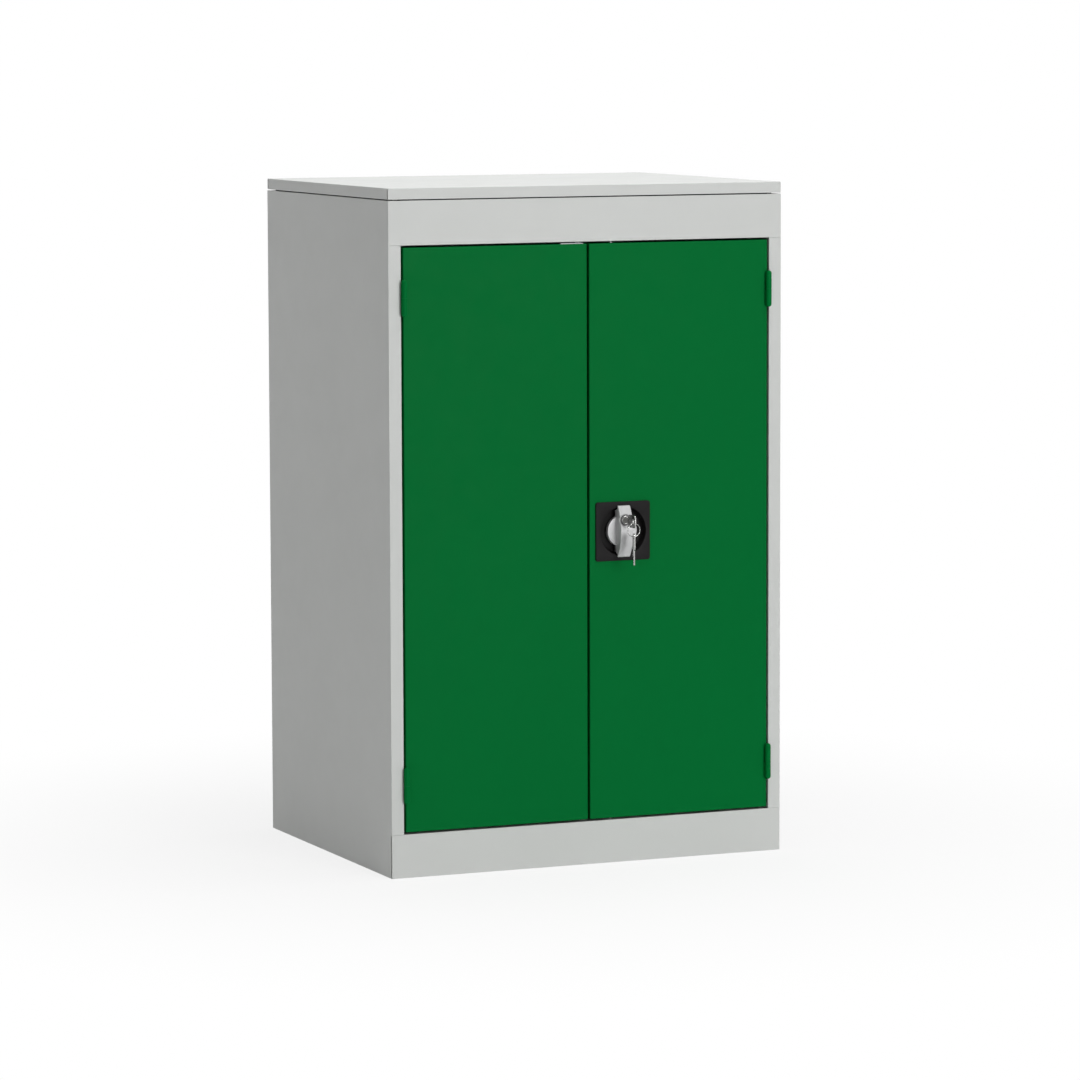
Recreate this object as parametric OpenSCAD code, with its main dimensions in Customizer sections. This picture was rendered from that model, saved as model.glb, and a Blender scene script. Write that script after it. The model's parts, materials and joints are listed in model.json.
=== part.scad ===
// Two-door sheet-steel tool cabinet with a recessed wing-handle lock.
// Millimetres. Origin: middle of the footprint on the floor. +X is right seen
// from the front, the doors face -Y, +Z is up. The doors are shown closed.

/* [Carcass] */
// Overall width
cabinet_w = 625; // [600:1:700]
// Overall depth of the carcass
cabinet_d = 500; // [460:1:560]
// Overall height
cabinet_h = 1000; // [980:1:1100]
// Thickness of the sheet steel
sheet_t = 1; // [0.8:0.1:1.2]
// Visible width of each front stile
stile_w = 19.4; // [18:0.1:24]
// Height of the plinth
plinth_h = 63.8; // [60:0.1:80]
// Height of the rail above the doors
rail_h = 64.1; // [50:0.1:80]
// Height of the skirt round the top cap
cap_skirt_h = 16.2; // [14:0.1:22]
// Shadow gap under the top cap
cap_gap = 1.8; // [1.5:0.1:2.5]

/* [Doors] */
// Gap between a door and the frame
door_gap = 3.3; // [3:0.1:4]
// Gap between the two doors
centre_gap = 3.8; // [3.5:0.1:4.5]
// Depth of the door pan
door_depth = 22; // [21:0.5:22]
// Width of the inner lip round the door pan
door_lip = 12; // [9:0.5:14]

/* [Hinges] */
// Radius of the hinge knuckles
knuckle_r = 4.25; // [4:0.05:4.4]
// Length of a hinge, end to end
hinge_len = 54; // [48:1:60]
// Height of the lower hinges
hinge_low_z = 136; // [120:1:200]
// Height of the upper hinges
hinge_high_z = 842.5; // [780:0.5:850]

/* [Lock] */
// Width and height of the escutcheon plate
plate_w = 87; // [84:0.5:90]
// Distance from the cabinet's middle to the lock
lock_x = 54.4; // [50:0.1:60]
// Height of the lock above the floor
lock_z = 491.9; // [480:0.1:510]
// Length of the wing handle
wing_len = 76; // [72:0.5:78]
// Width of the wing handle
wing_w = 20; // [18.5:0.5:21]
// Height of the lock cylinder above the handle's axis
cylinder_rise = 17.1; // [16.5:0.1:17.5]
// Radius of the locking rods
rod_r = 2.5; // [2.3:0.1:2.7]

/* [Shelves] */
// Height of the top of the upper shelf
upper_shelf_z = 650; // [600:25:700]
// Height of the top of the lower shelf
lower_shelf_z = 375; // [325:25:425]
// Depth of the folded edge of a shelf
shelf_edge = 30; // [30:1:34]

/* [Hidden] */
$fn = 64;

// Colours
body_grey = [0.78, 0.79, 0.78];
door_green = [0.0, 0.40, 0.18];
zinc = [0.70, 0.71, 0.72];
cast_silver = [0.75, 0.75, 0.76];
black_plastic = [0.12, 0.12, 0.13];

// Reference planes of the carcass
side = cabinet_w / 2;
front = -cabinet_d / 2;
back = cabinet_d / 2;
cap_bottom = cabinet_h - cap_skirt_h;
body_top = cap_bottom - cap_gap;
opening_x = side - stile_w;
opening_low = plinth_h;
opening_high = body_top - rail_h;
seam = 0.2;
corner_slit = 2.4;
cap_relief = 2.4;
inner_side = side - sheet_t;

// Frame folds
return_d = 26;
frame_lip = 15;
lip_notch = 12;
flange = 20;
rail_flange = 28;
end_flange = 15;
end_flange_start = 8;

// Fixings of the back, the wall and the cap
wall_hole_x = 200;
wall_hole_z = 900;
wall_hole_r = 4.5;
rivet_x = inner_side - 9;
rivet_r = 1.6;
rivet_head_r = 3.2;
rivet_z = [40, 220, 400, 580, 760, 940];
cap_screw_x = inner_side - flange + 3.5;
cap_screw_y = [-170, 170];
cap_screw_r = 2;
spacer_inset = 6;
spacer_w = 9;

// Stiffeners: hat channels with their crowns turned inwards
base_hat_w = 60;
shelf_hat_w = 70;
shelf_hat_h = 18;
door_hat_x = 175;
door_hat_margin = 45;

// Doors
door_in = centre_gap / 2;
door_out = opening_x - door_gap;
door_low = opening_low + door_gap;
door_high = opening_high - door_gap;
buffer_z = [110, 490, 872];

// Hinges: the axis stands in front of the doors, just outside their edges
hinge_x = door_out + 0.5;
hinge_y = front - 4.8;
pin_r = 2.5;
running_gap = 0.05;
leaf_t = 1.2;
leaf_reach = 20;
knuckle_gap = 0.15;

// Lock, measured outwards from the front of the doors at the lock's centre
plate_t = 3;
dish_r = 36.5;
dish_floor = -9;
dish_floor_t = 3;
dish_floor_r = 32;
disc_r = 23.4;
hub_r = 9;
wing_top = 17.5;
wing_end_z = 6;
wing_rise = wing_top - wing_end_z;
wing_arc = (pow(wing_len / 2, 2) + pow(wing_rise, 2)) / (2 * wing_rise);
spindle_r = 6;
case_w = 48;
case_h = 60;
case_back = dish_floor - dish_floor_t;
gear_low = case_back - sheet_t - 0.6 - 5;
gear_t = 5;
cover_z = gear_low - 1.6;
cam_z = -25.4;
cam_t = 3;
cam_len = 66;
case_screw_y = 24;
post_x = 20;
post_z = 26;
stud_at = 35;
cylinder_r = 8.5;
plug_r = 6;
plug_face = 13;
plug_low = dish_floor + 6.1;
pin_hole_r = 2.6;

// Rack and pinion: a quarter turn drives each rod by a quarter of the pitch circle
gear_module = 1;
teeth = 16;
pitch_r = gear_module * teeth / 2;
tooth_pitch = PI * gear_module;
backlash = 0.25;
pressure = 20;
base_r = pitch_r * cos(pressure);
tip_r = pitch_r + 0.9 * gear_module;
root_r = pitch_r - 1.25 * gear_module;
rod_x = -(pitch_r + 3.2);
rod_y = gear_low + gear_t / 2;
rod_clear = 0.6;
rod_taper = 1.5;
bush_r = 3.8;
guide_z = [300, 700];
crank_top = -case_h / 2 - 4;
crank_h = 6;

// Half the angle of a pinion tooth at the base circle
tooth_half = (tooth_pitch / 2 - backlash / 2) / pitch_r * 90 / PI
             + (tan(pressure) * 180 / PI - pressure);

// Keys
key_t = 1.8;
blade_clear = 2.7;
bow_out = 34;
bow_w = 25;
bow_h = 19;
ring_r = 9.75;
wire_r = 0.65;
ring_out = bow_out - 6;
ring_drop = 2.5;
ring_z = cylinder_rise - ring_drop - ring_r;
second_turn = -16;
slot_w = 4.6;
slot_len = 7.2;

// Flush bolt in the top of the left door
bolt_x = -12;
bolt_w = 9;
bolt_y = front + 12;
bolt_t = 4;
bracket_low = 60;
knob_z = door_high - bracket_low - 22;
knob_r = 3;
knob_head_r = 5.5;

// Shelves and their uprights
upright_x = inner_side - 14;
upright_w = 28;
upright_t = 1.2;
front_upright_y = -210;
rear_upright_y = 190;
upright_high = 905;
slot_h = 3.4;
slot_pitch = 25;
slot_first = 91.8;
clip_t = 3;
shelf_half = 293;
shelf_front = -206;
shelf_rear = 236;
shelf_hem = 10;

// ---- Helpers ----

// Box between its lowest and its highest corner
module block(low, high) { translate(low) cube(high - low); }

module mirror_x() { mirror([1, 0, 0]) children(); }

// Lock coordinates: x right, y up, z outwards from the front of the doors
module at_lock() { translate([lock_x, front, lock_z]) rotate([90, 0, 0]) children(); }

// Hole or shaft along Y, from y0 to y1
module bar_y(x, z, y0, y1, r) {
    translate([x, y1, z]) rotate([90, 0, 0]) cylinder(h = y1 - y0, r = r);
}

module rod(x, y, z0, z1, r) { translate([x, y, z0]) cylinder(h = z1 - z0, r = r); }

module rounded_rect(w, h, r) {
    square([w - 2 * r, h], center = true);
    square([w, h - 2 * r], center = true);
    for (sx = [-1, 1], sy = [-1, 1])
        translate([sx * (w / 2 - r), sy * (h / 2 - r)]) circle(r);
}

// Upright slot of width w and height h with round ends
module slot_2d(w, h) {
    square([w, h - w], center = true);
    for (s = [-1, 1]) translate([0, s * (h - w) / 2]) circle(w / 2);
}

// Hat-shaped channel along Z: crown of width w at y = h, flanges at y = 0
module hat_channel(w, h, f, len) {
    t = sheet_t;
    linear_extrude(len)
        polygon([[-w / 2 - f, 0], [-w / 2 + t, 0], [-w / 2 + t, h - t], [w / 2 - t, h - t],
                 [w / 2 - t, 0], [w / 2 + f, 0], [w / 2 + f, t], [w / 2, t],
                 [w / 2, h], [-w / 2, h], [-w / 2, t], [-w / 2 - f, t]]);
}

// ---- Carcass ----

// Right side: one sheet folded round the front to make the stile, its return and its lip
module side_panel() {
    t = sheet_t;
    z0 = opening_low + seam;
    z1 = opening_high - seam;
    web_front = front + t + seam;
    return_y = front + return_d;
    block([inner_side, front + t + corner_slit, 0], [side, back, body_top]);
    block([inner_side, web_front, z0], [side, back, body_top]);
    block([inner_side, front, z0], [side, web_front, z1]);
    block([opening_x, front, z0], [side, front + t, z1]);
    block([opening_x, front, z0], [opening_x + t, return_y, z1]);
    block([opening_x - frame_lip, return_y - t, z0 + lip_notch],
          [opening_x + t, return_y, z1 - lip_notch]);
    block([inner_side - flange, back - 2 * t, 0], [inner_side, back - t, body_top]);
    difference() {
        block([inner_side - flange, return_y + t, body_top - t],
              [inner_side, back - 2 * t, body_top]);
        for (y = cap_screw_y) rod(cap_screw_x, y, body_top - 2 * t, body_top + t, cap_screw_r);
    }
    block([inner_side - flange, return_y + t, 0], [inner_side, back - 2 * t, t]);
}

module left_side_panel() { color(body_grey) mirror_x() side_panel(); }
module right_side_panel() { color(body_grey) side_panel(); }

module back_panel() {
    x = inner_side - seam / 2;
    color(body_grey) difference() {
        block([-x, back - sheet_t, 0], [x, back, body_top]);
        for (s = [-1, 1]) bar_y(s * wall_hole_x, wall_hole_z, back - 2, back + 1, wall_hole_r);
        for (s = [-1, 1], z = rivet_z)
            bar_y(s * rivet_x, z, back - 2, back + 1, rivet_r);
    }
}

module back_rivets() {
    color(zinc) for (s = [-1, 1], z = rivet_z) {
        bar_y(s * rivet_x, z, back - sheet_t, back, rivet_r);
        bar_y(s * rivet_x, z, back, back + 0.9, rivet_head_r);
    }
}

// Hole for a rod tip and slot for the flush bolt, through a frame flange
module rod_hole(z) { rod(lock_x + rod_x, front - rod_y, z - 1, z + sheet_t + 1, rod_r + rod_clear); }

module top_rail() {
    t = sheet_t;
    x = side - seam;
    end_x = inner_side - seam;
    color(body_grey) difference() {
        union() {
            block([-x, front, opening_high], [x, front + t, body_top]);
            block([-end_x, front, opening_high], [end_x, front + rail_flange, opening_high + t]);
            block([-end_x, front, body_top - t], [end_x, front + return_d, body_top]);
            for (s = [0, 1]) mirror([s, 0, 0])
                block([end_x - t, front, opening_high], [end_x, front + end_flange, body_top]);
        }
        rod_hole(opening_high);
        block([bolt_x - bolt_w / 2 - 1, bolt_y - bolt_t / 2 - 1, opening_high - 1],
              [bolt_x + bolt_w / 2 + 1, bolt_y + bolt_t / 2 + 1, opening_high + t + 1]);
    }
}

// Plinth: its upper fold lies under the floor pan and carries its front edge
module plinth() {
    t = sheet_t;
    fold_low = plinth_h - 3 * t;
    x = side - seam;
    end_x = inner_side - seam;
    color(body_grey) difference() {
        union() {
            block([-x, front, 0], [x, front + t, plinth_h]);
            block([-end_x, front, fold_low], [end_x, front + end_flange, fold_low + t]);
            block([-end_x + end_flange, front, fold_low],
                  [end_x - end_flange, front + rail_flange, fold_low + t]);
            block([-end_x, front, 0], [end_x, front + flange, t]);
            for (s = [0, 1]) mirror([s, 0, 0])
                block([end_x - t, front + end_flange_start, 0],
                      [end_x, front + end_flange, plinth_h]);
        }
        rod_hole(fold_low);
    }
}

// Floor of the cabinet: a tray with its edges folded down, on the plinth's upper fold
module base_pan() {
    t = sheet_t;
    x = inner_side - seam / 2;
    y0 = front + t + seam;
    y1 = back - 2 * t - seam;
    top = plinth_h - t;
    skirt_y0 = front + end_flange + 2;
    color(body_grey) difference() {
        union() {
            block([-x + end_flange, y0, top - t], [x - end_flange, skirt_y0, top]);
            block([-x, skirt_y0, top - t], [x, y1, top]);
            for (s = [0, 1]) mirror([s, 0, 0])
                block([x - t, skirt_y0, top - flange], [x, y1, top]);
            block([-x, y1 - t, top - flange], [x, y1, top]);
        }
        rod_hole(top - t);
    }
}

// Hat channel lying under a surface at height z, along X, crown down
module cross_channel(z, half_len, w, h) {
    color(body_grey) translate([-half_len, 0, z]) rotate([0, 90, 0]) rotate([0, 0, -90])
        hat_channel(w, h, 12, 2 * half_len);
}

// Channel that carries the middle of the floor pan down to the ground
module base_stiffener() {
    z = plinth_h - 2 * sheet_t;
    cross_channel(z, inner_side - flange - 1, base_hat_w, z);
}

// Cap: a shallow tray turned over, its skirts folded inwards at the bottom
module top_cap() {
    t = sheet_t;
    x = side - 0.3;
    y0 = front + 0.3;
    y1 = back - 0.3;
    color(body_grey) {
        block([-x, y0, cabinet_h - t], [x, y1, cabinet_h]);
        block([-x, y0, cap_bottom], [x, y0 + t, cabinet_h]);
        block([-x, y1 - t, cap_bottom], [x, y1, cabinet_h]);
        for (s = [0, 1]) mirror([s, 0, 0]) {
            block([x - t, y0 + t + corner_slit, cap_bottom], [x, y1 - t - corner_slit, cabinet_h]);
            block([x - t, y0, cabinet_h - cap_relief], [x, y1, cabinet_h]);
            difference() {
                block([x - flange, y0 + flange + t, cap_bottom],
                      [x, y1 - flange - t, cap_bottom + t]);
                for (y = cap_screw_y)
                    rod(cap_screw_x, y, cap_bottom - t, cap_bottom + 2 * t, cap_screw_r);
            }
        }
        block([-x + t + seam, y0, cap_bottom], [x - t - seam, y0 + flange, cap_bottom + t]);
        block([-x + t + seam, y1 - flange, cap_bottom], [x - t - seam, y1, cap_bottom + t]);
    }
}

module cap_spacers() {
    x = side - spacer_inset;
    y = cabinet_d / 2 - spacer_inset;
    color(black_plastic) {
        for (s = [0, 1]) mirror([0, s, 0])
            block([-side + flange, -y, body_top], [side - flange, -y + spacer_w, cap_bottom]);
        for (s = [0, 1]) mirror([s, 0, 0])
            block([x - spacer_w, front + flange, body_top], [x, back - flange, cap_bottom]);
    }
}

module cap_screws() {
    x = cap_screw_x;
    color(zinc) for (s = [-1, 1], y = cap_screw_y) {
        rod(s * x, y, body_top - sheet_t - 2, body_top - sheet_t, 3.8);
        rod(s * x, y, body_top - sheet_t, cap_bottom + sheet_t, cap_screw_r);
    }
}

// ---- Shelves ----

// Right-hand slotted upright whose front edge is at y0
module upright(y0) {
    y1 = y0 + upright_w;
    z0 = plinth_h - sheet_t;
    slots = floor((upright_high - slot_first - 20) / slot_pitch);
    color(body_grey) difference() {
        union() {
            block([upright_x, y0, z0], [upright_x + upright_t, y1, upright_high]);
            block([upright_x, y0, z0], [inner_side, y0 + upright_t, upright_high]);
            block([upright_x, y1 - upright_t, z0], [inner_side, y1, upright_high]);
        }
        for (i = [0:slots])
            block([upright_x - 1, y0 + 8, slot_first + i * slot_pitch],
                  [upright_x + 3, y0 + 20, slot_first + i * slot_pitch + slot_h]);
    }
}

module front_left_upright() { mirror_x() upright(front_upright_y); }
module front_right_upright() { upright(front_upright_y); }
module rear_left_upright() { mirror_x() upright(rear_upright_y); }
module rear_right_upright() { upright(rear_upright_y); }

// Four clips hooked into the uprights, holding a shelf whose top is at shelf_z
module shelf_clips(shelf_z) {
    top = shelf_z - shelf_edge;
    hook_x = upright_x + upright_t;
    color(zinc) for (s = [0, 1], y0 = [front_upright_y, rear_upright_y]) mirror([s, 0, 0]) {
        block([upright_x - 13, y0 + 8.3, top - clip_t], [hook_x + 3, y0 + 19.7, top]);
        block([hook_x + 0.1, y0 + 8.3, top - 9], [hook_x + 3, y0 + 19.7, top]);
        block([upright_x - 2.1, y0 + 8.3, top - 9], [upright_x - 0.1, y0 + 19.7, top]);
    }
}

module upper_shelf_clips() { shelf_clips(upper_shelf_z); }
module lower_shelf_clips() { shelf_clips(lower_shelf_z); }

module shelf(z) {
    t = sheet_t;
    low = z - shelf_edge;
    x = shelf_half;
    color(body_grey) {
        block([-x, shelf_front, z - t], [x, shelf_rear, z]);
        for (s = [0, 1]) mirror([s, 0, 0])
            block([x - t, shelf_front, low], [x, shelf_rear, z]);
        block([-x, shelf_front, low], [x, shelf_front + t, z]);
        block([-x, shelf_rear - t, low], [x, shelf_rear, z]);
        block([-x + shelf_hem, shelf_front, low], [x - shelf_hem, shelf_front + shelf_hem, low + t]);
        block([-x + shelf_hem, shelf_rear - shelf_hem, low], [x - shelf_hem, shelf_rear, low + t]);
    }
}

module upper_shelf() { shelf(upper_shelf_z); }
module lower_shelf() { shelf(lower_shelf_z); }

module shelf_stiffener(z) {
    mid = (shelf_front + shelf_rear) / 2;
    translate([0, mid, 0]) cross_channel(z - sheet_t, shelf_half - 3, shelf_hat_w, shelf_hat_h);
}

module upper_shelf_stiffener() { shelf_stiffener(upper_shelf_z); }
module lower_shelf_stiffener() { shelf_stiffener(lower_shelf_z); }

// ---- Hinges ----

// Half a right-hand hinge, pointing up from its middle: a knuckle with a rounded end
module knuckle(bore_r) {
    len = hinge_len / 2 - knuckle_r;
    difference() {
        union() {
            translate([0, 0, knuckle_gap]) cylinder(h = len - knuckle_gap, r = knuckle_r);
            translate([0, 0, len]) sphere(knuckle_r);
        }
        cylinder(h = len - 2, r = bore_r);
    }
}

// Fixed lower half with its leaf on the stile's return
module hinge_base(z) {
    half = hinge_len / 2;
    color(door_green) {
        translate([hinge_x, hinge_y, z]) mirror([0, 0, 1]) knuckle(pin_r);
        block([opening_x - leaf_t, hinge_y + 3, z - half + knuckle_r],
              [opening_x, front + leaf_reach, z - 1]);
    }
}

module upper_left_hinge_base() { mirror_x() hinge_base(hinge_high_z); }
module lower_left_hinge_base() { mirror_x() hinge_base(hinge_low_z); }
module upper_right_hinge_base() { hinge_base(hinge_high_z); }
module lower_right_hinge_base() { hinge_base(hinge_low_z); }

// Pins pressed into the lower halves, each with a thin collar between the knuckles
module hinge_pins() {
    reach = hinge_len / 2 - knuckle_r - 2;
    color(zinc) for (s = [-1, 1], z = [hinge_low_z, hinge_high_z]) {
        rod(s * hinge_x, hinge_y, z - reach, z + reach - 1, pin_r);
        rod(s * hinge_x, hinge_y, z - knuckle_gap, z + knuckle_gap / 2, knuckle_r - 0.5);
    }
}

// Upper halves of the right door's hinges, with their leaves on the door's edge
module door_knuckles() {
    half = hinge_len / 2;
    color(door_green) for (z = [hinge_low_z, hinge_high_z]) {
        translate([hinge_x, hinge_y, z]) knuckle(pin_r + running_gap);
        block([door_out, hinge_y + 3, z + 1],
              [door_out + leaf_t, front + leaf_reach, z + half - knuckle_r]);
    }
}

module left_door_knuckles() { mirror_x() door_knuckles(); }
module right_door_knuckles() { door_knuckles(); }

// ---- Doors ----

// Right-hand door pan: skin, folded returns and inner lips
module door_pan() {
    t = sheet_t;
    rear = front + door_depth;
    lip = door_lip;
    difference() {
        block([door_in, front, door_low], [door_out, rear, door_high]);
        block([door_in + t, front + t, door_low + t], [door_out - t, rear - t, door_high - t]);
        block([door_in + lip, rear - t - 1, door_low + lip],
              [door_out - lip, rear + 1, door_high - lip]);
    }
}

module left_door_panel() {
    color(door_green) difference() {
        mirror_x() door_pan();
        block([bolt_x - bolt_w / 2 - 0.5, bolt_y - bolt_t / 2 - 0.5, door_high - 5],
              [bolt_x + bolt_w / 2 + 0.5, bolt_y + bolt_t / 2 + 0.5, door_high + 1]);
        block([-door_in - door_lip - 1, front + door_depth - 2, knob_z - knob_r - 0.8],
              [bolt_x + knob_r + 0.8, front + door_depth + 1, knob_z + knob_r + 12.8]);
    }
}

module right_door_panel() {
    color(door_green) difference() {
        door_pan();
        bar_y(lock_x, lock_z, front - 1, front + 2, dish_r + 2.5);
        for (sx = [-1, 1], sz = [-1, 1])
            bar_y(lock_x + sx * stud_at, lock_z + sz * stud_at, front - 1, front + 2, 2.4);
        for (z = [door_low - 1, door_high - 2])
            rod(lock_x + rod_x, front - rod_y, z, z + 3, bush_r);
    }
}

module door_stiffener() {
    len = door_high - door_low - 2 * door_hat_margin;
    color(door_green) translate([door_hat_x, front + sheet_t, door_low + door_hat_margin])
        hat_channel(50, 18, 10, len);
}

module left_door_stiffener() { mirror_x() door_stiffener(); }
module right_door_stiffener() { door_stiffener(); }

// ---- Lock ----

// Round dish turned about the lock's axis: rim, curved wall and flat floor
module dish_solid(grow) {
    wall = [for (i = [0:8]) let (a = 90 * i / 8)
            [dish_floor_r + (dish_r - dish_floor_r) * sin(a) + grow,
             dish_floor + (plate_t - dish_floor) * (1 - cos(a))]];
    low = grow > 0 ? dish_floor - dish_floor_t : dish_floor;
    rotate_extrude($fn = 96)
        polygon(concat([[0, low], [wall[0][0], low]], wall,
                       [[dish_r + grow, plate_t + 1], [0, plate_t + 1]]));
}

module escutcheon() {
    color(black_plastic) at_lock() difference() {
        union() {
            linear_extrude(plate_t) rounded_rect(plate_w, plate_w, 3.5);
            intersection() {
                dish_solid(2);
                translate([0, 0, dish_floor - dish_floor_t])
                    cylinder(h = plate_t - dish_floor + dish_floor_t, r = dish_r + 2);
            }
            for (sx = [-1, 1], sy = [-1, 1])
                translate([sx * stud_at, sy * stud_at, -8]) cylinder(h = 9, r = 2);
        }
        dish_solid(0);
        translate([0, 0, dish_floor - 5]) cylinder(h = 10, r = hub_r + running_gap);
        translate([0, cylinder_rise, dish_floor - 5]) cylinder(h = 10, r = pin_hole_r);
        translate([cylinder_rise, 0, dish_floor - 5]) cylinder(h = 10, r = pin_hole_r);
        for (s = [-1, 1]) translate([0, s * case_screw_y, case_back - 1]) cylinder(h = 3, r = 1.4);
    }
}

module escutcheon_nuts() {
    color(zinc) at_lock()
        for (sx = [-1, 1], sy = [-1, 1]) translate([sx * stud_at, sy * stud_at, 0]) difference() {
            union() {
                translate([0, 0, -sheet_t - 0.8]) cylinder(h = 0.8, r = 4.5);
                translate([0, 0, -sheet_t - 4]) cylinder(h = 3.2, r = 4.04, $fn = 6);
            }
            translate([0, 0, -10]) cylinder(h = 12, r = 2);
        }
}

// Posts that the cover is screwed to
module at_posts() { for (sx = [-1, 1], sy = [-1, 1]) translate([sx * post_x, sy * post_z, 0]) children(); }

module lock_case() {
    t = sheet_t;
    color(zinc) at_lock() difference() {
        union() {
            difference() {
                translate([-case_w / 2, -case_h / 2, cover_z + t])
                    cube([case_w, case_h, case_back - cover_z - t]);
                translate([-case_w / 2 + t, -case_h / 2 + t, cover_z - 1])
                    cube([case_w - 2 * t, case_h - 2 * t, case_back - cover_z + 1 - t]);
            }
            at_posts() translate([0, 0, cover_z + t]) cylinder(h = case_back - cover_z - t, r = 2.6);
        }
        at_posts() translate([0, 0, cover_z]) cylinder(h = 6, r = 1.25);
        for (s = [-1, 1]) translate([0, s * case_screw_y, case_back - 3]) cylinder(h = 5, r = 1.4);
        translate([0, 0, cover_z]) cylinder(h = 30, r = hub_r + 1);
        translate([0, cylinder_rise, case_back - 3]) cylinder(h = 5, r = pin_hole_r + 1);
        translate([cylinder_rise, 0, case_back - 3]) cylinder(h = 5, r = pin_hole_r + 1);
        for (s = [-1, 1]) translate([s * rod_x, s * case_h / 2, gear_low + gear_t / 2])
            cube([9, 4 * sheet_t, gear_t + 0.7], center = true);
    }
}

// Screws that hold the case to the back of the dish
module case_screws() {
    color(zinc) at_lock() for (s = [-1, 1]) translate([0, s * case_screw_y, 0]) {
        translate([0, 0, case_back - sheet_t - 1.8]) cylinder(h = 1.8, r = 2.8);
        translate([0, 0, case_back - sheet_t]) cylinder(h = sheet_t + 2, r = 1.4);
    }
}

module lock_cover() {
    color(zinc) at_lock() difference() {
        translate([-case_w / 2, -case_h / 2, cover_z]) cube([case_w, case_h, sheet_t]);
        translate([0, 0, cover_z - 1]) cylinder(h = 4, r = spindle_r + running_gap);
        at_posts() translate([0, 0, cover_z - 1]) cylinder(h = 4, r = 1.6);
    }
}

module cover_screws() {
    color(zinc) at_lock() at_posts() {
        translate([0, 0, cover_z - 1.8]) cylinder(h = 1.8, r = 2.8);
        translate([0, 0, cover_z - 0.2]) cylinder(h = 6, r = 1.25);
    }
}

module rod_bushes() {
    x = lock_x + rod_x;
    y = front - rod_y;
    color(black_plastic) for (s = [0, 1]) {
        inner = s == 0 ? door_low + sheet_t : door_high - sheet_t - 2;
        outer = s == 0 ? door_low : door_high - sheet_t;
        difference() {
            union() {
                rod(x, y, inner, inner + 2, bush_r + 0.9);
                rod(x, y, outer, outer + sheet_t, bush_r);
            }
            rod(x, y, inner - 5, inner + 8, rod_r + running_gap);
        }
    }
}

// Strap guides riveted to the door skin, one for each rod
module rod_guides() {
    t = sheet_t;
    x = lock_x + rod_x;
    y = front - rod_y;
    reach = rod_r + 3.2;
    color(zinc) for (z = guide_z) {
        block([x - reach - 10, front + t, z - 8], [x + reach + 10, front + 2 * t, z + 8]);
        for (s = [-1, 1])
            block([x + s * reach - t / 2, front + t, z - 8],
                  [x + s * reach + t / 2, y + rod_r + 1.5, z + 8]);
        block([x - reach - t / 2, y + rod_r + 0.5, z - 8],
              [x + reach + t / 2, y + rod_r + 1.5, z + 8]);
    }
}

module wing_handle() {
    half = wing_len / 2;
    keep = dish_floor + 4;
    color(cast_silver) at_lock() difference() {
        union() {
            translate([0, 0, dish_floor + 2]) cylinder(h = -dish_floor - 2, r = disc_r);
            translate([0, 0, dish_floor - dish_floor_t]) cylinder(h = dish_floor_t + 3, r = hub_r);
            translate([0, 0, cam_z - 4]) cylinder(h = 18, r = spindle_r);
            intersection() {
                translate([-wing_w / 2, 0, 0]) rotate([90, 0, 90]) linear_extrude(wing_w)
                    polygon([[-half, plate_t + 0.8], [-half + 4.5, plate_t + 0.6], [-half + 8, keep],
                             [half - 8, keep], [half - 4.5, plate_t + 0.6], [half, plate_t + 0.8],
                             [half, 30], [-half, 30]]);
                translate([-wing_w, 0, wing_top - wing_arc]) rotate([0, 90, 0])
                    cylinder(h = 2 * wing_w, r = wing_arc, $fn = 180);
            }
        }
        translate([0, cylinder_rise, keep]) cylinder(h = 40, r = cylinder_r);
        translate([0, cylinder_rise, plug_face - 1.5]) cylinder(h = 20, r = cylinder_r + 1.9);
        translate([0, cylinder_rise, dish_floor]) cylinder(h = 20, r = 2.1);
    }
}

module cylinder_housing() {
    low = dish_floor + 4;
    color(cast_silver) at_lock() translate([0, cylinder_rise, 0]) difference() {
        translate([0, 0, low]) cylinder(h = plug_face - 0.6 - low, r = cylinder_r);
        translate([0, 0, low + 2]) cylinder(h = 40, r = plug_r + running_gap);
        translate([0, 0, low - 1]) cylinder(h = 10, r = 2.1);
    }
}

// Turning plug with its keyway
module cylinder_plug() {
    low = plug_low;
    color(cast_silver) at_lock() translate([0, cylinder_rise, 0]) difference() {
        translate([0, 0, low]) cylinder(h = plug_face - low, r = plug_r);
        translate([-key_t / 2 - 0.15, -4.3, low + 0.4]) cube([key_t + 0.3, 8.6, 40]);
    }
}

// Pin behind the plug that drops into the dish floor to hold the handle
module locking_pin() {
    color(zinc) at_lock() translate([0, cylinder_rise, dish_floor + 1])
        cylinder(h = 5, r = 2);
}

// Key along +y: its shoulder at 0, the blade below and the bow above
module key_blank() {
    blade = plug_face - plug_low - blade_clear;
    neck = bow_out - bow_w + 2;
    difference() {
        union() {
            translate([0, bow_out - bow_w / 2, 0]) linear_extrude(key_t)
                rounded_rect(bow_h, bow_w, 6);
            linear_extrude(key_t)
                polygon([[-4, neck], [4, neck], [4, -blade + 3], [1, -blade], [-4, -blade + 1]]);
        }
        translate([0, ring_out, -1]) linear_extrude(key_t + 2)
            rotate(90) slot_2d(slot_w, slot_len);
    }
}

module key() {
    color(cast_silver) at_lock() translate([-key_t / 2, cylinder_rise, plug_face])
        rotate([90, 0, 90]) key_blank();
}

module key_ring() {
    color(zinc) at_lock() translate([0, ring_z, plug_face + ring_out])
        rotate_extrude($fn = 72) translate([ring_r, 0]) circle(r = wire_r, $fn = 24);
}

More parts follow.
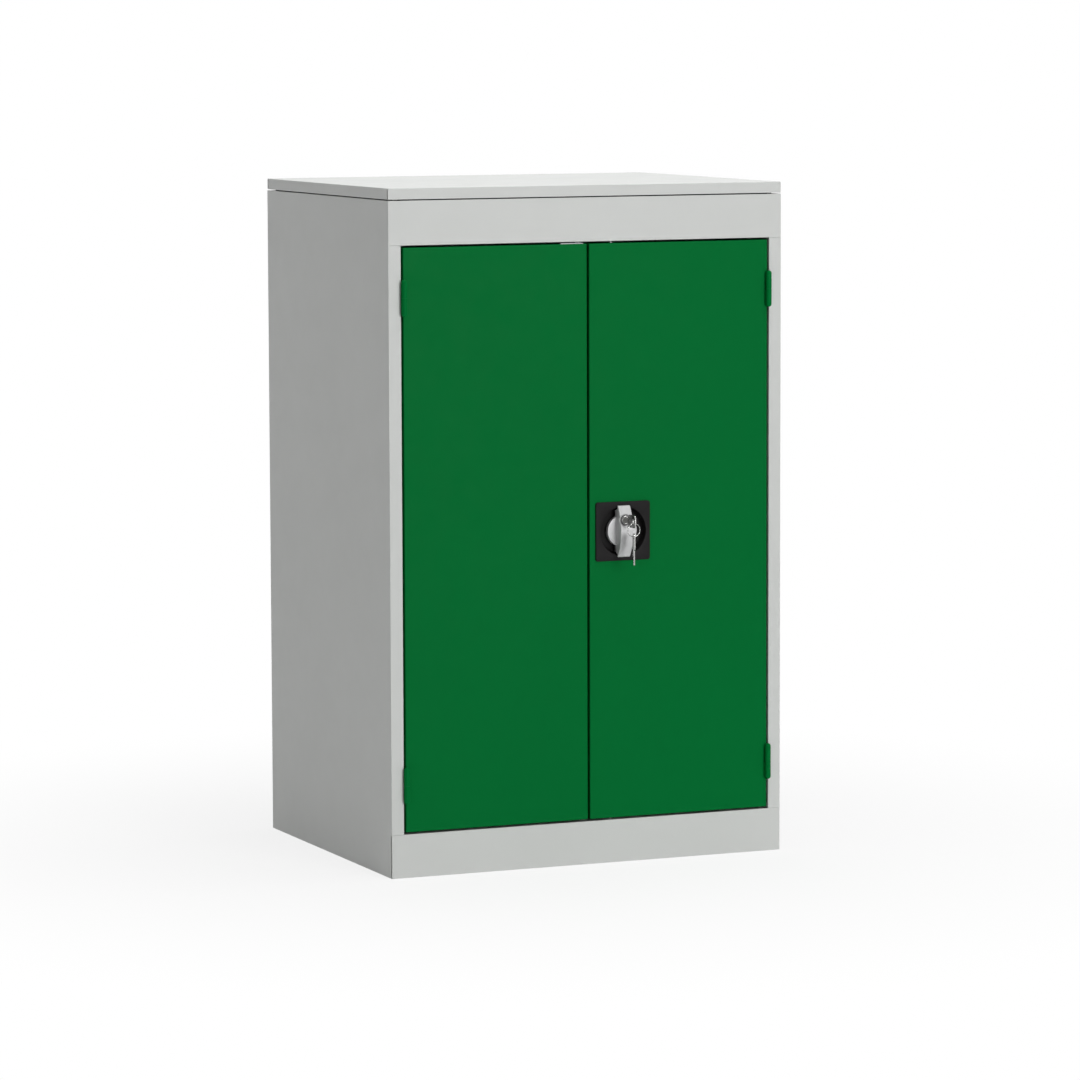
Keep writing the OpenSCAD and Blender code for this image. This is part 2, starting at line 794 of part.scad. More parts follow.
// Spare key, hanging from the bottom of the ring and turned a little on it
module second_key() {
    slot_z = ring_z - ring_r + wire_r + 0.4 - slot_w / 2;
    color(cast_silver) at_lock() translate([0, slot_z, plug_face + ring_out])
        rotate([0, second_turn, 0]) translate([-key_t / 2, -ring_out, 0]) rotate([0, 90, 0])
            key_blank();
}

// ---- Rack and pinion ----

function involute(rb, u) = [rb * (cos(u) + u * PI / 180 * sin(u)), rb * (sin(u) - u * PI / 180 * cos(u))];

module pinion_2d() {
    tip_u = sqrt(pow(tip_r / base_r, 2) - 1) * 180 / PI;
    flank = [for (i = [0:5]) involute(base_r, tip_u * i / 5)];
    circle(root_r + 0.01);
    for (k = [0:teeth - 1]) rotate(k * 360 / teeth)
        polygon(concat([[root_r * cos(tooth_half) - 0.3, -root_r * sin(tooth_half)]],
                       [for (p = flank) [p[0] * cos(tooth_half) + p[1] * sin(tooth_half),
                                         -p[0] * sin(tooth_half) + p[1] * cos(tooth_half)]],
                       [for (i = [5:-1:0]) let (p = flank[i])
                           [p[0] * cos(tooth_half) + p[1] * sin(tooth_half),
                            p[0] * sin(tooth_half) - p[1] * cos(tooth_half)]],
                       [[root_r * cos(tooth_half) - 0.3, root_r * sin(tooth_half)]]));
}

module pinion() {
    color(zinc) at_lock() translate([0, 0, gear_low + 0.2]) difference() {
        linear_extrude(gear_t - 0.4) pinion_2d();
        translate([0, 0, -1]) cylinder(h = gear_t + 2, r = spindle_r);
    }
}

// Rack tooth on the left of the pinion, centred at height 0, its tip towards +x
module rack_tooth() {
    lean = tan(pressure) * gear_module;
    w = tooth_pitch / 4 - backlash / 4;
    polygon([[-1.15 * gear_module, -w - 1.15 * lean], [0.9 * gear_module, -w + 0.9 * lean],
             [0.9 * gear_module, w - 0.9 * lean], [-1.15 * gear_module, w + 1.15 * lean]]);
}

// Rack of teeth from first to last, in pitches above the pinion's axis
module rack_2d(first, last) {
    back_x = -pitch_r - 1.1 * gear_module;
    for (k = [first:last]) translate([-pitch_r, (k + 0.5) * tooth_pitch]) rack_tooth();
    translate([back_x - 4, (first - 0.2) * tooth_pitch])
        square([4.05, (last - first + 1.4) * tooth_pitch]);
}

// Flat plate in the plane of the pinion
module rack_plate() {
    color(zinc) at_lock() translate([0, 0, gear_low + 0.2]) linear_extrude(gear_t - 0.4) children();
}

module upper_rod() {
    x = lock_x + rod_x;
    y = front - rod_y;
    top = opening_high - 0.5;
    rack_plate() rack_2d(-6, 1);
    color(zinc) {
        rod(x, y, lock_z + 2, top - rod_taper, rod_r);
        translate([x, y, top - rod_taper]) cylinder(h = rod_taper, r1 = rod_r, r2 = rod_r - 0.6);
    }
}

// The lower rod is cranked back under the upper one, below the case
module lower_rod() {
    x = lock_x + rod_x;
    y = front - rod_y;
    low = opening_low + 0.5;
    rack_plate() {
        mirror([1, 0, 0]) rack_2d(-2, 5);
        translate([pitch_r + 1.1, crank_top - crank_h]) square([4, -crank_top]);
        translate([rod_x - 2, crank_top - crank_h]) square([pitch_r + 5.1 - rod_x + 2, crank_h]);
    }
    color(zinc) {
        rod(x, y, low + rod_taper, lock_z + crank_top - 1, rod_r);
        translate([x, y, low]) cylinder(h = rod_taper, r1 = rod_r - 0.6, r2 = rod_r);
    }
}

// Tongue that turns behind the left door, pointing down when the handle is upright
module cam_tongue() {
    color(zinc) at_lock() translate([0, 0, cam_z]) difference() {
        linear_extrude(cam_t) union() {
            circle(11);
            translate([-9, -cam_len + 5]) square([18, cam_len - 5]);
            translate([-4, -cam_len]) square([8, 6]);
            for (s = [-1, 1]) translate([s * 4, -cam_len + 5]) circle(5);
        }
        translate([0, 0, -1]) cylinder(h = cam_t + 2, r = spindle_r);
    }
}

module cam_nut() {
    color(zinc) at_lock() translate([0, 0, cam_z - 4]) difference() {
        cylinder(h = 4, r = 9.2, $fn = 6);
        translate([0, 0, -1]) cylinder(h = 6, r = spindle_r);
    }
}

// ---- Flush bolt and frame buffers ----

module bolt_bracket() {
    t = sheet_t + 0.2;
    half = bolt_w / 2 + 0.3;
    y0 = front + sheet_t;
    deep = bolt_y + bolt_t / 2 + 0.3;
    color(zinc) {
        difference() {
            block([-42, y0 + 2, door_high], [-6, front + door_depth - 4, door_high + t]);
            block([bolt_x - half, bolt_y - bolt_t / 2 - 0.3, door_high - 1],
                  [bolt_x + half, deep, door_high + 4]);
        }
        for (z = [door_high - 25, door_high - bracket_low]) difference() {
            block([bolt_x - half - 9, y0, z], [bolt_x + half + 4, deep + 1.2, z + 12]);
            block([bolt_x - half, y0 - 1, z - 1], [bolt_x + half, deep, z + 13]);
        }
    }
}

module flush_bolt() {
    top = opening_high - 0.5;
    color(zinc) {
        block([bolt_x - bolt_w / 2, bolt_y - bolt_t / 2, knob_z - 8],
              [bolt_x + bolt_w / 2, bolt_y + bolt_t / 2, top]);
        bar_y(bolt_x, knob_z, bolt_y, bolt_y + 15, knob_r);
        bar_y(bolt_x, knob_z, bolt_y + 11, bolt_y + 16, knob_head_r);
    }
}

module door_buffers() {
    color(black_plastic) for (s = [-1, 1], z = buffer_z)
        bar_y(s * (opening_x - frame_lip + 5), z,
              front + door_depth + 0.1, front + return_d - sheet_t, 4.5);
}

left_side_panel();
right_side_panel();
back_panel();
top_rail();
plinth();
base_pan();
base_stiffener();
top_cap();
cap_spacers();
cap_screws();
front_left_upright();
front_right_upright();
rear_left_upright();
rear_right_upright();
upper_shelf_clips();
lower_shelf_clips();
back_rivets();
door_buffers();
upper_left_hinge_base();
lower_left_hinge_base();
upper_right_hinge_base();
lower_right_hinge_base();
hinge_pins();
left_door_panel();
left_door_stiffener();
left_door_knuckles();
bolt_bracket();
flush_bolt();
right_door_panel();
right_door_stiffener();
right_door_knuckles();
escutcheon();
escutcheon_nuts();
lock_case();
case_screws();
lock_cover();
cover_screws();
rod_guides();
rod_bushes();
wing_handle();
cylinder_housing();
pinion();
cam_tongue();
cam_nut();
cylinder_plug();
locking_pin();
key();
key_ring();
second_key();
upper_rod();
lower_rod();
upper_shelf();
upper_shelf_stiffener();
lower_shelf();
lower_shelf_stiffener();
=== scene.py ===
"""Looks of a two-door steel tool cabinet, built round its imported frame.

Laid out as a Blender add-on and run as a script. Lengths are in metres on the frame's own
axes: +X is right seen from the front, the doors face -Y, +Z is up. Lock coordinates are
(right, up, out) from the middle of the lock on the front of the doors.
"""
import json
import math

import bmesh
import bpy
import numpy as np
from bpy.props import FloatProperty, FloatVectorProperty, IntProperty, PointerProperty
from mathutils import Matrix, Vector
from mathutils.geometry import tessellate_polygon

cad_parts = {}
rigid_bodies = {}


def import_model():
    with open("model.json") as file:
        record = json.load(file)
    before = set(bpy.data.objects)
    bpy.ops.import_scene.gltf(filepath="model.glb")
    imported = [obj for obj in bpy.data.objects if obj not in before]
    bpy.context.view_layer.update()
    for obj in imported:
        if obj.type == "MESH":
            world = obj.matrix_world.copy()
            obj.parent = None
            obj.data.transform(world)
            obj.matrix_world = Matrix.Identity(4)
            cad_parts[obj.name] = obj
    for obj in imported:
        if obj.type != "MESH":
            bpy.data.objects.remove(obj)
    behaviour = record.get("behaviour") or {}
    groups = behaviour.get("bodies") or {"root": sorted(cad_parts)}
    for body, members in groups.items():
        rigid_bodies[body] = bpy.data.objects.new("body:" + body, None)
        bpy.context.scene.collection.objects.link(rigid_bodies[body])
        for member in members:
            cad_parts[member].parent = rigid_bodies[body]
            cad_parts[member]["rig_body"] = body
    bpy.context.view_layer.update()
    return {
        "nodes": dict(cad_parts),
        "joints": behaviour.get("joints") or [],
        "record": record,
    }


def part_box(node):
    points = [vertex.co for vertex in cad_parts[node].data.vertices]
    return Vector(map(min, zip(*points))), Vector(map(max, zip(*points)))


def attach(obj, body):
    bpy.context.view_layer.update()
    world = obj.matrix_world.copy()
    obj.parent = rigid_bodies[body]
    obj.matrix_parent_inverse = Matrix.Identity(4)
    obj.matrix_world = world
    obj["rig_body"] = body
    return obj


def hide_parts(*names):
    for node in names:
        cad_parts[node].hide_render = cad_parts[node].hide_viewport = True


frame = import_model()
NODES = frame["nodes"]

bl_info = {
    "name": "Tool cabinet",
    "version": (1, 0, 0),
    "blender": (4, 5, 0),
    "location": "3D View > Sidebar > Cabinet",
    "description": "Dresses a packed two-door tool cabinet in its real surfaces",
    "category": "Object",
}

MM = 0.001

# Places that the frame gives
PLATE_LOW, PLATE_HIGH = (np.array(v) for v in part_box("escutcheon"))
DISC_LOW, DISC_HIGH = (np.array(v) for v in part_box("wing_handle"))
PLUG_LOW, PLUG_HIGH = (np.array(v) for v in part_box("cylinder_plug"))
KEY_LOW, KEY_HIGH = (np.array(v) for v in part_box("key"))
RING_LOW, RING_HIGH = (np.array(v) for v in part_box("key_ring"))
DOOR_LOW, DOOR_HIGH = (np.array(v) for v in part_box("right_door_panel"))
LOCK = np.array([(PLATE_LOW[0] + PLATE_HIGH[0]) / 2, DOOR_LOW[1],
                 (PLATE_LOW[2] + PLATE_HIGH[2]) / 2])


# ---- Sizes and colours that a user would change ----

class StageSettings(bpy.types.PropertyGroup):
    """Where the camera stands and how bright each light is"""

    camera_place: FloatVectorProperty(
        name="Camera", description="Place of the camera", subtype="TRANSLATION", size=3,
        default=(-2.88545, -6.77845, 1.23998))
    azimuth: FloatProperty(
        name="Azimuth", description="Turn of the camera about the vertical", subtype="ANGLE",
        default=math.radians(-23.274))
    elevation: FloatProperty(
        name="Elevation", description="Angle that the camera looks down", subtype="ANGLE",
        default=math.radians(6.0697))
    roll: FloatProperty(
        name="Roll", description="Turn of the camera about its own view", subtype="ANGLE",
        default=math.radians(-0.174))
    lens: FloatProperty(
        name="Lens", description="Focal length on a 36 mm sensor, in millimetres",
        default=163.29)
    ambient: FloatProperty(
        name="Ambient", description="Light from all round", min=0.0, default=0.06)
    front_light: FloatProperty(
        name="Front light", description="Power of the soft box before the doors, in watts",
        min=0.0, default=206.0)
    side_light: FloatProperty(
        name="Side lights", description="Power of each soft box beside and behind, in watts",
        min=0.0, default=45.0)
    top_light: FloatProperty(
        name="Top light", description="Power of the soft box above, in watts",
        min=0.0, default=93.0)


class PaintSettings(bpy.types.PropertyGroup):
    """Colours of the coats and depth of their grain"""

    grey: FloatVectorProperty(
        name="Grey coat", description="Powder coat of the carcass", subtype="COLOR", size=3,
        min=0.0, max=1.0, default=(0.580, 0.592, 0.578))
    green: FloatVectorProperty(
        name="Green coat", description="Powder coat of the doors", subtype="COLOR", size=3,
        min=0.0, max=1.0, default=(0.0, 0.139, 0.028))
    peel: FloatProperty(
        name="Orange peel", description="Depth of the coat's fine waves", subtype="DISTANCE",
        default=0.03 * MM)


class FoldSettings(bpy.types.PropertyGroup):
    """Rounds of the folded sheet steel"""

    fold_radius: FloatProperty(
        name="Fold radius", description="Outer radius of a fold", subtype="DISTANCE",
        default=0.9 * MM)
    rim_radius: FloatProperty(
        name="Rim radius", description="Round that the coat leaves on a cut edge",
        subtype="DISTANCE", default=0.25 * MM)
    steps: IntProperty(
        name="Steps", description="Faces across a round", min=1, max=8, default=3)


class LockSettings(bpy.types.PropertyGroup):
    """Sizes of the lock, measured from the front of the doors at the lock's middle"""

    plate_thickness: FloatProperty(
        name="Plate", description="Thickness of the escutcheon", subtype="DISTANCE",
        default=3.0 * MM)
    plate_corner: FloatProperty(
        name="Plate corner", description="Corner radius of the escutcheon", subtype="DISTANCE",
        default=3.5 * MM)
    dish_radius: FloatProperty(
        name="Dish", description="Radius of the dish at its rim", subtype="DISTANCE",
        default=36.5 * MM)
    dish_floor_radius: FloatProperty(
        name="Dish floor", description="Radius of the flat floor of the dish",
        subtype="DISTANCE", default=32.0 * MM)
    dish_floor: FloatProperty(
        name="Dish depth", description="Level of the dish's floor", subtype="DISTANCE",
        default=-9.0 * MM)
    dish_wall: FloatProperty(
        name="Dish wall", description="Thickness of the dish's wall", subtype="DISTANCE",
        default=2.0 * MM)
    pin_hole: FloatProperty(
        name="Pin hole", description="Radius of the locking pin's holes in the dish",
        subtype="DISTANCE", default=2.6 * MM)
    hub_radius: FloatProperty(
        name="Hub", description="Radius of the handle's hub", subtype="DISTANCE",
        default=9.0 * MM)
    spindle_radius: FloatProperty(
        name="Spindle", description="Radius of the handle's spindle", subtype="DISTANCE",
        default=6.0 * MM)
    disc_radius: FloatProperty(
        name="Disc", description="Radius of the disc under the wing", subtype="DISTANCE",
        default=23.4 * MM)
    wing_width: FloatProperty(
        name="Wing width", description="Width of the wing", subtype="DISTANCE",
        default=20.0 * MM)
    wing_length: FloatProperty(
        name="Wing length", description="Length of the wing", subtype="DISTANCE",
        default=float(DISC_HIGH[2] - DISC_LOW[2]))
    wing_crown: FloatProperty(
        name="Wing crown", description="Level of the wing's front at its middle",
        subtype="DISTANCE", default=17.5 * MM)
    wing_end: FloatProperty(
        name="Wing end", description="Level of the wing's front at its ends",
        subtype="DISTANCE", default=6.0 * MM)
    cylinder_radius: FloatProperty(
        name="Cylinder", description="Radius of the lock cylinder's housing",
        subtype="DISTANCE", default=8.5 * MM)
    plug_radius: FloatProperty(
        name="Plug", description="Radius of the turning plug", subtype="DISTANCE",
        default=float(PLUG_HIGH[0] - PLUG_LOW[0]) / 2)
    key_thickness: FloatProperty(
        name="Key", description="Thickness of a key", subtype="DISTANCE",
        default=float(KEY_HIGH[0] - KEY_LOW[0]))
    key_reach: FloatProperty(
        name="Key reach", description="From the plug's face to the end of the key's bow",
        subtype="DISTANCE", default=34.0 * MM)
    bow_width: FloatProperty(
        name="Bow width", description="Width of a key's bow", subtype="DISTANCE",
        default=19.0 * MM)
    bow_length: FloatProperty(
        name="Bow length", description="Length of a key's bow", subtype="DISTANCE",
        default=25.0 * MM)
    bow_corner: FloatProperty(
        name="Bow corner", description="Corner radius of a key's bow", subtype="DISTANCE",
        default=6.0 * MM)
    blade_width: FloatProperty(
        name="Blade width", description="Width of a key's blade before its cuts",
        subtype="DISTANCE", default=8.0 * MM)
    hanging_turn: FloatProperty(
        name="Second key's turn", description="Turn of the hanging key about the vertical",
        subtype="ANGLE", default=math.radians(-16))
    wire_radius: FloatProperty(
        name="Ring wire", description="Radius of the split ring's wire", subtype="DISTANCE",
        default=0.45 * MM)


class HingeSettings(bpy.types.PropertyGroup):
    """Sizes of the lift-off hinges"""

    radius: FloatProperty(
        name="Knuckle", description="Radius of a hinge's knuckles", subtype="DISTANCE",
        default=4.25 * MM)
    gap: FloatProperty(
        name="Gap", description="Half the gap between the two knuckles", subtype="DISTANCE",
        default=0.15 * MM)
    pin_radius: FloatProperty(
        name="Pin", description="Radius of the pin", subtype="DISTANCE", default=2.5 * MM)
    leaf_thickness: FloatProperty(
        name="Leaf", description="Thickness of a leaf", subtype="DISTANCE",
        default=1.2 * MM)
    leaf_start: FloatProperty(
        name="Leaf start", description="From the axis back to where a leaf begins",
        subtype="DISTANCE", default=3.0 * MM)


GROUPS = [("cabinet_stage", StageSettings), ("cabinet_paint", PaintSettings),
          ("cabinet_folds", FoldSettings), ("cabinet_lock", LockSettings),
          ("cabinet_hinges", HingeSettings)]


# ---- Shared shader groups ----

def shader_group(name, inputs, outputs):
    """An empty group with its named sockets: (name, socket type, default) and (name, type)."""
    tree = bpy.data.node_groups.new(name, "ShaderNodeTree")
    for label, kind, default in inputs:
        socket = tree.interface.new_socket(label, in_out="INPUT", socket_type=kind)
        socket.default_value = default
    for label, kind in outputs:
        tree.interface.new_socket(label, in_out="OUTPUT", socket_type=kind)
    return tree, tree.nodes.new("NodeGroupInput"), tree.nodes.new("NodeGroupOutput")


def add_node(tree, kind, links=None, **values):
    """A node with its properties set and its inputs linked or given."""
    node = tree.nodes.new(kind)
    for key, value in values.items():
        setattr(node, key, value)
    for key, value in (links or {}).items():
        if isinstance(value, bpy.types.NodeSocket):
            tree.links.new(value, node.inputs[key])
        else:
            node.inputs[key].default_value = value
    return node


def group_of(name):
    """The shared group of that name, built the first time it is asked for."""
    return bpy.data.node_groups.get(name) or GROUP_MAKERS[name](name)


def make_fine_waves(name):
    """Height of a sprayed or moulded surface: two sizes of soft noise added together."""
    tree, given, result = shader_group(
        name,
        [("Size", "NodeSocketFloat", 0.002), ("Depth", "NodeSocketFloat", 1.0)],
        [("Height", "NodeSocketFloat")])
    place = add_node(tree, "ShaderNodeTexCoord")
    scale = add_node(tree, "ShaderNodeMath", {0: 1.0, 1: given.outputs["Size"]},
                     operation="DIVIDE")
    broad = add_node(tree, "ShaderNodeTexNoise",
                     {"Vector": place.outputs["Object"], "Scale": scale.outputs[0],
                      "Detail": 1.5, "Roughness": 0.45})
    finer = add_node(tree, "ShaderNodeMath", {0: scale.outputs[0], 1: 2.7},
                     operation="MULTIPLY")
    fine = add_node(tree, "ShaderNodeTexNoise",
                    {"Vector": place.outputs["Object"], "Scale": finer.outputs[0],
                     "Detail": 0.0})
    both = add_node(tree, "ShaderNodeMath",
                    {0: fine.outputs["Fac"], 1: 0.35, 2: broad.outputs["Fac"]},
                    operation="MULTIPLY_ADD")
    deep = add_node(tree, "ShaderNodeMath", {0: both.outputs[0], 1: given.outputs["Depth"]},
                    operation="MULTIPLY")
    tree.links.new(deep.outputs[0], result.inputs["Height"])
    return tree


def make_drift(name):
    """A value that drifts slowly over the surface, between Low and High."""
    tree, given, result = shader_group(
        name,
        [("Size", "NodeSocketFloat", 0.2), ("Low", "NodeSocketFloat", 0.0),
         ("High", "NodeSocketFloat", 1.0)],
        [("Value", "NodeSocketFloat")])
    place = add_node(tree, "ShaderNodeTexCoord")
    scale = add_node(tree, "ShaderNodeMath", {0: 1.0, 1: given.outputs["Size"]},
                     operation="DIVIDE")
    noise = add_node(tree, "ShaderNodeTexNoise",
                     {"Vector": place.outputs["Object"], "Scale": scale.outputs[0],
                      "Detail": 3.0, "Roughness": 0.55})
    spread = add_node(tree, "ShaderNodeMapRange",
                      {"Value": noise.outputs["Fac"], "From Min": 0.3, "From Max": 0.7,
                       "To Min": given.outputs["Low"], "To Max": given.outputs["High"]})
    tree.links.new(spread.outputs["Result"], result.inputs["Value"])
    return tree


def make_painted_highlight_mask(name):
    """Mask of the painted edge highlight: 1 along convex edges within Reach, 0 on flats, broken
    up by noise.
    """
    tree, given, result = shader_group(
        name,
        [("Reach", "NodeSocketFloat", 0.001)],
        [("Mask", "NodeSocketFloat")])
    geometry = add_node(tree, "ShaderNodeNewGeometry")
    rounded = add_node(tree, "ShaderNodeBevel", {"Radius": given.outputs["Reach"]}, samples=4)
    match = add_node(tree, "ShaderNodeVectorMath",
                     {0: geometry.outputs["Normal"], 1: rounded.outputs["Normal"]},
                     operation="DOT_PRODUCT")
    edge = add_node(tree, "ShaderNodeMapRange",
                    {"Value": match.outputs["Value"], "From Min": 0.98, "From Max": 0.80,
                     "To Min": 0.0, "To Max": 1.0})
    place = add_node(tree, "ShaderNodeTexCoord")
    noise = add_node(tree, "ShaderNodeTexNoise",
                     {"Vector": place.outputs["Object"], "Scale": 220.0, "Detail": 2.0})
    broken = add_node(tree, "ShaderNodeMapRange",
                      {"Value": noise.outputs["Fac"], "From Min": 0.35, "From Max": 0.65,
                       "To Min": 0.3, "To Max": 1.0})
    mask = add_node(tree, "ShaderNodeMath",
                    {0: edge.outputs["Result"], 1: broken.outputs["Result"]},
                    operation="MULTIPLY")
    tree.links.new(mask.outputs[0], result.inputs["Mask"])
    return tree


def make_tint(name):
    """A colour scaled by a drifting value and mixed towards a paler colour where the painted edge
    highlight's mask is 1.
    """
    tree, given, result = shader_group(
        name,
        [("Colour", "NodeSocketColor", (0.5, 0.5, 0.5, 1.0)),
         ("Shade", "NodeSocketFloat", 1.0), ("Lift", "NodeSocketFloat", 0.0),
         ("Lifted Colour", "NodeSocketColor", (0.6, 0.6, 0.6, 1.0))],
        [("Colour", "NodeSocketColor")])
    shaded = add_node(tree, "ShaderNodeVectorMath",
                      {0: given.outputs["Colour"], "Scale": given.outputs["Shade"]},
                      operation="SCALE")
    highlighted = add_node(tree, "ShaderNodeMix",
                      {"Factor": given.outputs["Lift"], "A": shaded.outputs["Vector"],
                       "B": given.outputs["Lifted Colour"]}, data_type="RGBA")
    tree.links.new(highlighted.outputs[2], result.inputs["Colour"])
    return tree


GROUP_MAKERS = {"fine_waves": make_fine_waves, "drift": make_drift,
                "edge_mask": make_painted_highlight_mask, "tint": make_tint}


def use_group(tree, name, links=None):
    """One of the shared groups, placed in a material with its own values."""
    node = tree.nodes.new("ShaderNodeGroup")
    node.node_tree = group_of(name)
    for key, value in (links or {}).items():
        if isinstance(value, bpy.types.NodeSocket):
            tree.links.new(value, node.inputs[key])
        else:
            node.inputs[key].default_value = value
    return node


# ---- Materials ----

def finish(name, colour, highlighted, shade, wave_size, wave_depth, rough, edge_highlight_strength, metallic,
           specular, drift_size=0.25):
    """A surface whose colour drifts a little, is painted paler along its edges as a highlight,
    and has fine waves.

    shade and rough are (low, high) pairs; wave_depth is in metres.
    """
    found = bpy.data.materials.get(name)
    if found:
        return found
    material = bpy.data.materials.new(name)
    material.use_nodes = True
    tree = material.node_tree
    shader = tree.nodes["Principled BSDF"]
    shader.inputs["Metallic"].default_value = metallic
    shader.inputs["Specular IOR Level"].default_value = specular
    drift = use_group(tree, "drift", {"Size": drift_size, "Low": shade[0], "High": shade[1]})
    # Painted highlight: the colour turns towards the paler one along convex edges.
    mask = use_group(tree, "edge_mask", {"Reach": 1.2 * MM})
    highlight_share = add_node(tree, "ShaderNodeMath", {0: mask.outputs[0], 1: edge_highlight_strength},
                    operation="MULTIPLY")
    tint = use_group(tree, "tint",
                     {"Colour": (*colour, 1.0), "Shade": drift.outputs[0],
                      "Lift": highlight_share.outputs[0], "Lifted Colour": (*highlighted, 1.0)})
    tree.links.new(tint.outputs[0], shader.inputs["Base Color"])
    polish = use_group(tree, "drift", {"Size": 0.03, "Low": rough[0], "High": rough[1]})
    tree.links.new(polish.outputs[0], shader.inputs["Roughness"])
    waves = use_group(tree, "fine_waves", {"Size": wave_size, "Depth": 1.0})
    bump = add_node(tree, "ShaderNodeBump",
                    {"Height": waves.outputs[0], "Distance": wave_depth, "Strength": 1.0})
    tree.links.new(bump.outputs[0], shader.inputs["Normal"])
    return material


def paint(colour, name, specular):
    """Powder coat: soft orange peel, slightly paler along its edges, partly where the coat thins
    out over an edge and partly as a painted highlight.
    """
    settings = bpy.context.scene.cabinet_paint
    # Paler colour of the edges: partly thinner coat, partly painted highlight.
    highlighted = tuple(min(1.0, c * 1.12 + 0.02) for c in colour)
    return finish(name, tuple(colour), highlighted, (0.985, 1.015), 1.6 * MM, settings.peel,
                  (0.36, 0.46), 0.5, 0.0, specular)


def grey_coat():
    """Light grey powder coat of the carcass."""
    return paint(bpy.context.scene.cabinet_paint.grey, "grey powder coat", 0.2)


def green_coat():
    """Green powder coat of the doors and hinges."""
    return paint(bpy.context.scene.cabinet_paint.green, "green powder coat", 0.02)


def moulded_black():
    """Black moulded plastic with a fine spark-eroded grain and a painted highlight along its
    edges.
    """
    return finish("moulded black plastic", (0.0105, 0.0098, 0.0102), (0.026, 0.026, 0.026),
                  (0.92, 1.08), 0.35 * MM, 0.012 * MM, (0.42, 0.55), 0.35, 0.0, 0.08,
                  drift_size=0.05)


def black_rubber():
    """Dull black rubber with a painted highlight along its edges."""
    return finish("black rubber", (0.018, 0.018, 0.018), (0.05, 0.05, 0.05), (0.9, 1.1),
                  0.5 * MM, 0.02 * MM, (0.7, 0.85), 0.3, 0.0, 0.25, drift_size=0.03)


def cast_zinc():
    """Satin zinc casting, lacquered silver, with a painted highlight along its edges."""
    return finish("satin zinc casting", (0.51, 0.51, 0.515), (0.62, 0.62, 0.625),
                  (0.96, 1.04), 0.45 * MM, 0.010 * MM, (0.42, 0.52), 0.5, 0.2, 0.3,
                  drift_size=0.04)


def zinc_with_painted_shade():
    """Zinc casting of the lock cylinder, dark oxidised, its colour darkened further as painted
    shade of the recess that it sits in, and a painted highlight along its edges.
    """
    return finish("darkened zinc casting", (0.10, 0.10, 0.102), (0.42, 0.42, 0.42),
                  (0.85, 1.15), 0.4 * MM, 0.010 * MM, (0.35, 0.48), 0.7, 0.5, 0.4,
                  drift_size=0.004)


def bright_nickel():
    """Nickel plating, polished, with faint rub marks and a painted highlight along its edges."""
    return finish("bright nickel plating", (0.32, 0.318, 0.312), (0.90, 0.895, 0.88),
                  (0.93, 1.05), 0.8 * MM, 0.006 * MM, (0.14, 0.28), 0.9, 0.9, 0.5,
                  drift_size=0.008)


def zinc_plating():
    """Clear-passivated zinc plating, slightly blue and cloudy, with a painted highlight along its
    edges.
    """
    return finish("zinc plating", (0.25, 0.256, 0.266), (0.42, 0.43, 0.44), (0.85, 1.08),
                  0.6 * MM, 0.010 * MM, (0.32, 0.46), 0.5, 0.7, 0.5, drift_size=0.012)


def bright_steel():
    """Drawn steel bar, bright, with faint drawing marks and a painted highlight along its edges.
    """
    return finish("bright drawn steel", (0.74, 0.74, 0.75), (0.86, 0.86, 0.86), (0.94, 1.03),
                  0.5 * MM, 0.008 * MM, (0.26, 0.38), 0.5, 0.6, 0.5, drift_size=0.01)


FINISHES = {"grey_powder_coat": grey_coat, "green_powder_coat": green_coat,
            "black_plastic": moulded_black, "black_rubber": black_rubber,
            "satin_zinc_casting": cast_zinc, "dark_zinc_casting": zinc_with_painted_shade,
            "bright_nickel": bright_nickel, "zinc_plated_steel": zinc_plating,
            "bright_steel": bright_steel}


# ---- Meshes ----

def lock_to_frame(points):
    """Lock coordinates (right, up, out) turned into the frame's: x + right, y - out, z + up."""
    points = np.asarray(points, float)
    return LOCK + np.stack([points[..., 0], -points[..., 2], points[..., 1]], -1)


def grid_faces(rows, columns, close_rows=False, close_columns=False):
    """Quads of a grid whose point (i, j) is number i * columns + j."""
    i = np.arange(rows if close_rows else rows - 1)
    j = np.arange(columns if close_columns else columns - 1)
    i, j = np.meshgrid(i, j, indexing="ij")
    i1, j1 = (i + 1) % rows, (j + 1) % columns
    quads = np.stack([i * columns + j, i * columns + j1, i1 * columns + j1, i1 * columns + j], -1)
    return quads.reshape(-1, 4)


def outward(mesh):
    """Merges doubles and turns every face of a closed mesh outwards."""
    work = bmesh.new()
    work.from_mesh(mesh)
    bmesh.ops.remove_doubles(work, verts=work.verts, dist=1e-7)
    bmesh.ops.recalc_face_normals(work, faces=work.faces)
    work.to_mesh(mesh)
    work.free()


def solid(name, points, faces):
    """An object at the origin made of a closed surface, its faces turned outwards."""
    mesh = bpy.data.meshes.new(name)
    mesh.from_pydata(np.asarray(points).reshape(-1, 3).tolist(), [], faces)
    outward(mesh)
    made = bpy.data.objects.new(name, mesh)
    bpy.context.scene.collection.objects.link(made)
    return made


def soften(made, width, steps=2, angle=30):
    """Rounds the sharp edges and keeps the flats flat."""
    made.data.shade_smooth()
    rounds = made.modifiers.new("Rounds", "BEVEL")
    rounds.limit_method = "ANGLE"
    rounds.angle_limit = math.radians(angle)
    rounds.width = width
    rounds.segments = steps
    flats = made.modifiers.new("Flats", "WEIGHTED_NORMAL")
    flats.weight = 100
    return made


def belongs(made, slot, body, *replaced):
    """Gives a piece its finish, its body and the CAD nodes that it stands for."""
    made.data.materials.clear()
    made.data.materials.append(FINISHES[slot]())
    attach(made, body)
    if replaced:
        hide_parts(*replaced)
    return made


